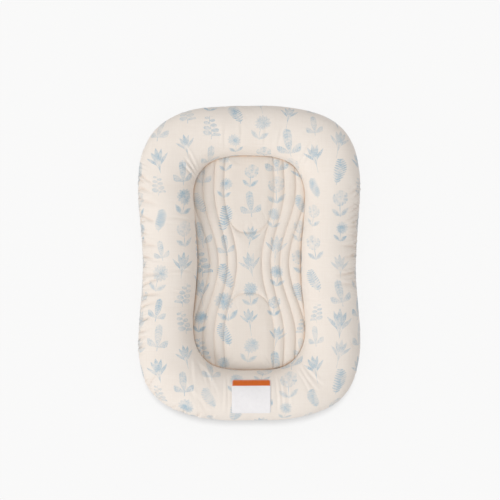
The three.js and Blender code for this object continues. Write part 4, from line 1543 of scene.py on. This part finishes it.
# The zip's own pieces: moulded plastic teeth, and stops, slider and pull of die-cast metal enamelled to
# match the cloth. The enamel is rubbed through along their edges.
rub_width = 0.0003
enamel_unevenness = 0.12
enamel_relief = 0.000015
rubbed, rubbed_in, rubbed_out = new_group(
    "rubbed edges",
    [("Vector", "Vector"), ("Width", "Float")],
    [("Worn", "Float")],
)
softened = rubbed.nodes.new("ShaderNodeBevel")
softened.samples = 6
rubbed.links.new(rubbed_in.outputs["Width"], softened.inputs["Radius"])
plain_surface = rubbed.nodes.new("ShaderNodeNewGeometry")
compare = rubbed.nodes.new("ShaderNodeVectorMath")
compare.operation = "DOT_PRODUCT"
rubbed.links.new(softened.outputs["Normal"], compare.inputs[0])
rubbed.links.new(plain_surface.outputs["Normal"], compare.inputs[1])
edge = 1 - Signal(rubbed, compare.outputs["Value"])
patchy = mottle(rubbed, rubbed_in.outputs["Vector"], 700, 3.0)
worn = 1 - (edge * 4 + patchy - 0.5).under(0.32, 0.12)
rubbed.links.new(worn.socket, rubbed_out.inputs["Worn"])


def cast_finish(name, light, dark, roughness, bare, bare_roughness, metal):
    """A hard finish with slight unevenness, rubbed bare along the edges."""
    material, tree, shader = new_material(name, roughness)
    place = object_vector(tree)
    wear = Signal(tree, place_group(tree, rubbed, place, Width=rub_width).outputs["Worn"])
    cloud = mottle(tree, place, 350, 3.0)
    color = blend_colors(tree, wear, blend_colors(tree, cloud, light, dark), bare)
    tree.links.new(color, shader.inputs["Base Color"])
    roughnesses = wear * (bare_roughness - roughness) + cloud * enamel_unevenness + roughness
    tree.links.new(roughnesses.socket, shader.inputs["Roughness"])
    tree.links.new((wear * metal).socket, shader.inputs["Metallic"])
    raise_surface(tree, shader, mottle(tree, place, 2600, 2.0), enamel_relief)
    return material


zip_teeth = cast_finish(
    "zip_teeth",
    light=(0.74, 0.67, 0.57),
    dark=(0.66, 0.59, 0.49),
    roughness=0.38,
    bare=(0.80, 0.74, 0.65),
    bare_roughness=0.3,
    metal=0,
)
zip_metal = cast_finish(
    "zip_metal",
    light=(0.72, 0.66, 0.58),
    dark=(0.64, 0.57, 0.49),
    roughness=0.28,
    bare=(0.56, 0.55, 0.53),
    bare_roughness=0.32,
    metal=1,
)
moulded = ("zip_teeth_left", "zip_teeth_right")
cast = ("zip_top_stop_left", "zip_top_stop_right", "zip_bottom_stop", "zip_slider", "zip_pull")
for nodes, material in ((moulded, zip_teeth), (cast, zip_metal)):
    for node in nodes:
        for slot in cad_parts[node].material_slots:
            slot.material = material


# A plain pale floor and backdrop. Seen directly or in a reflection they are almost white, and the floor
# keeps the lounger's shadow. From below, the floor is clear.
backdrop_white = (0.949, 0.949, 0.949)
studio_light = 0.65
floor_lamp_energy = 3.4
floor_lamp_tilt = -15
floor_light = studio_light + floor_lamp_energy * math.cos(math.radians(floor_lamp_tilt)) / math.pi
floor_shade_tone = 0.25
floor_matt_tone = 0.417
own_light_share = 1 - floor_shade_tone * floor_light
floor_reach = 9
floor_drop = 0.0004


def seen_directly(tree):
    """1 for the rays that should meet the plain backdrop."""
    path = tree.nodes.new("ShaderNodeLightPath")
    seen = Signal(tree, path.outputs["Is Camera Ray"])
    seen = seen.most(Signal(tree, path.outputs["Is Glossy Ray"]))
    return seen.most(Signal(tree, path.outputs["Is Transmission Ray"])).socket


def plain_shader(tree, kind, color, strength=None):
    """A shader of one colour, and of a strength where it gives light."""
    node = tree.nodes.new(kind)
    node.inputs["Color"].default_value = (*color, 1)
    if strength is not None:
        node.inputs["Strength"].default_value = strength
    return node.outputs[0]


def either(tree, share, first, second):
    """The first shader where the share is 0, and the second where it is 1."""
    mix = tree.nodes.new("ShaderNodeMixShader")
    for slot, source in zip(mix.inputs, (share, first, second)):
        tree.links.new(source, slot)
    return mix.outputs["Shader"]


# The lounger covers an opening in the floor, through which its underside is lit
opening_inset = 0.004
near_floor = 0.0008
touching = skin[:, :seam_row, 2] < near_floor
outermost = [np.flatnonzero(column)[-1] for column in touching]
opening = skin[np.arange(len(skin)), outermost, :2]
opening *= 1 - opening_inset / np.linalg.norm(opening, axis=1, keepdims=True)
bm = cut_out(opening, -floor_drop, filled=False)
rim = bmesh.ops.extrude_edge_only(bm, edges=bm.edges[:])["geom"]
outward = floor_reach / ring_length
bmesh.ops.scale(bm, verts=only(bmesh.types.BMVert, rim), vec=(outward, outward, 1))
face_up(bm)
floor = finish_piece("floor", bm, smooth=False)
floor_paint = bpy.data.materials.new("floor_paint")
floor_paint.use_nodes = True
tree = floor_paint.node_tree
tree.nodes.clear()
shade_white = [tone * floor_shade_tone for tone in backdrop_white]
together = tree.nodes.new("ShaderNodeAddShader")
tree.links.new(plain_shader(tree, "ShaderNodeBsdfDiffuse", shade_white), together.inputs[0])
tree.links.new(plain_shader(tree, "ShaderNodeEmission", backdrop_white, own_light_share), together.inputs[1])
matt = plain_shader(tree, "ShaderNodeBsdfDiffuse", [floor_matt_tone] * 3)
from_above = either(tree, seen_directly(tree), matt, together.outputs["Shader"])
from_below = tree.nodes.new("ShaderNodeBsdfTransparent").outputs["BSDF"]
side_seen = tree.nodes.new("ShaderNodeNewGeometry").outputs["Backfacing"]
result = tree.nodes.new("ShaderNodeOutputMaterial")
tree.links.new(either(tree, side_seen, from_above, from_below), result.inputs["Surface"])
floor.data.materials.append(floor_paint)

studio_white = (1.0, 0.992, 0.982)
world = bpy.data.worlds.new("studio")
world.use_nodes = True
tree = world.node_tree
tree.nodes.clear()
around = plain_shader(tree, "ShaderNodeBackground", studio_white, studio_light)
backdrop = plain_shader(tree, "ShaderNodeBackground", backdrop_white)
result = tree.nodes.new("ShaderNodeOutputWorld")
tree.links.new(either(tree, seen_directly(tree), around, backdrop), result.inputs["Surface"])
bpy.context.scene.world = world


# The light is soft and even. A key lamp from the foot end's left and a weak one straight above light the
# lounger, and a lamp from beyond the head lights the floor alone, so that the shadow falls beyond the foot.
key_white = (1.0, 0.985, 0.96)


def hang_lamp(name, energy, softness, turn, color=(1, 1, 1)):
    """A distant lamp: how wide it looks and how it is turned from straight down are in degrees."""
    light = bpy.data.lights.new(name, "SUN")
    light.energy = energy
    light.color = color
    light.angle = math.radians(softness)
    lamp = put_in_scene(name, light)
    lamp.rotation_euler = [math.radians(angle) for angle in turn]
    return lamp


def choose_lit(name, floor_part, lamps):
    """Lets lamps light all but the floor (EXCLUDE), or the floor alone (INCLUDE)."""
    lit = bpy.data.collections.new(name)
    lit.objects.link(floor)
    lit.collection_objects[0].light_linking.link_state = floor_part
    for lamp in lamps:
        lamp.light_linking.receiver_collection = lit


key_lamp = hang_lamp("key", 1.15, 28, (46, 0, -60), key_white)
overhead_lamp = hang_lamp("overhead", 0.25, 24, (0, 0, 0))
floor_lamp = hang_lamp("floor_light", floor_lamp_energy, 14, (floor_lamp_tilt, 0, 0))
choose_lit("all_but_the_floor", "EXCLUDE", [key_lamp, overhead_lamp])
choose_lit("the_floor", "INCLUDE", [floor_lamp])

# The camera looks straight down
camera_lens = 85
camera_place = (0.0017, 0.0282, 2.615)
camera = bpy.data.cameras.new("camera")
camera.lens = camera_lens
camera_stand = put_in_scene("camera", camera)
camera_stand.location = camera_place
bpy.context.scene.camera = camera_stand
bpy.context.scene.view_settings.view_transform = "Standard"
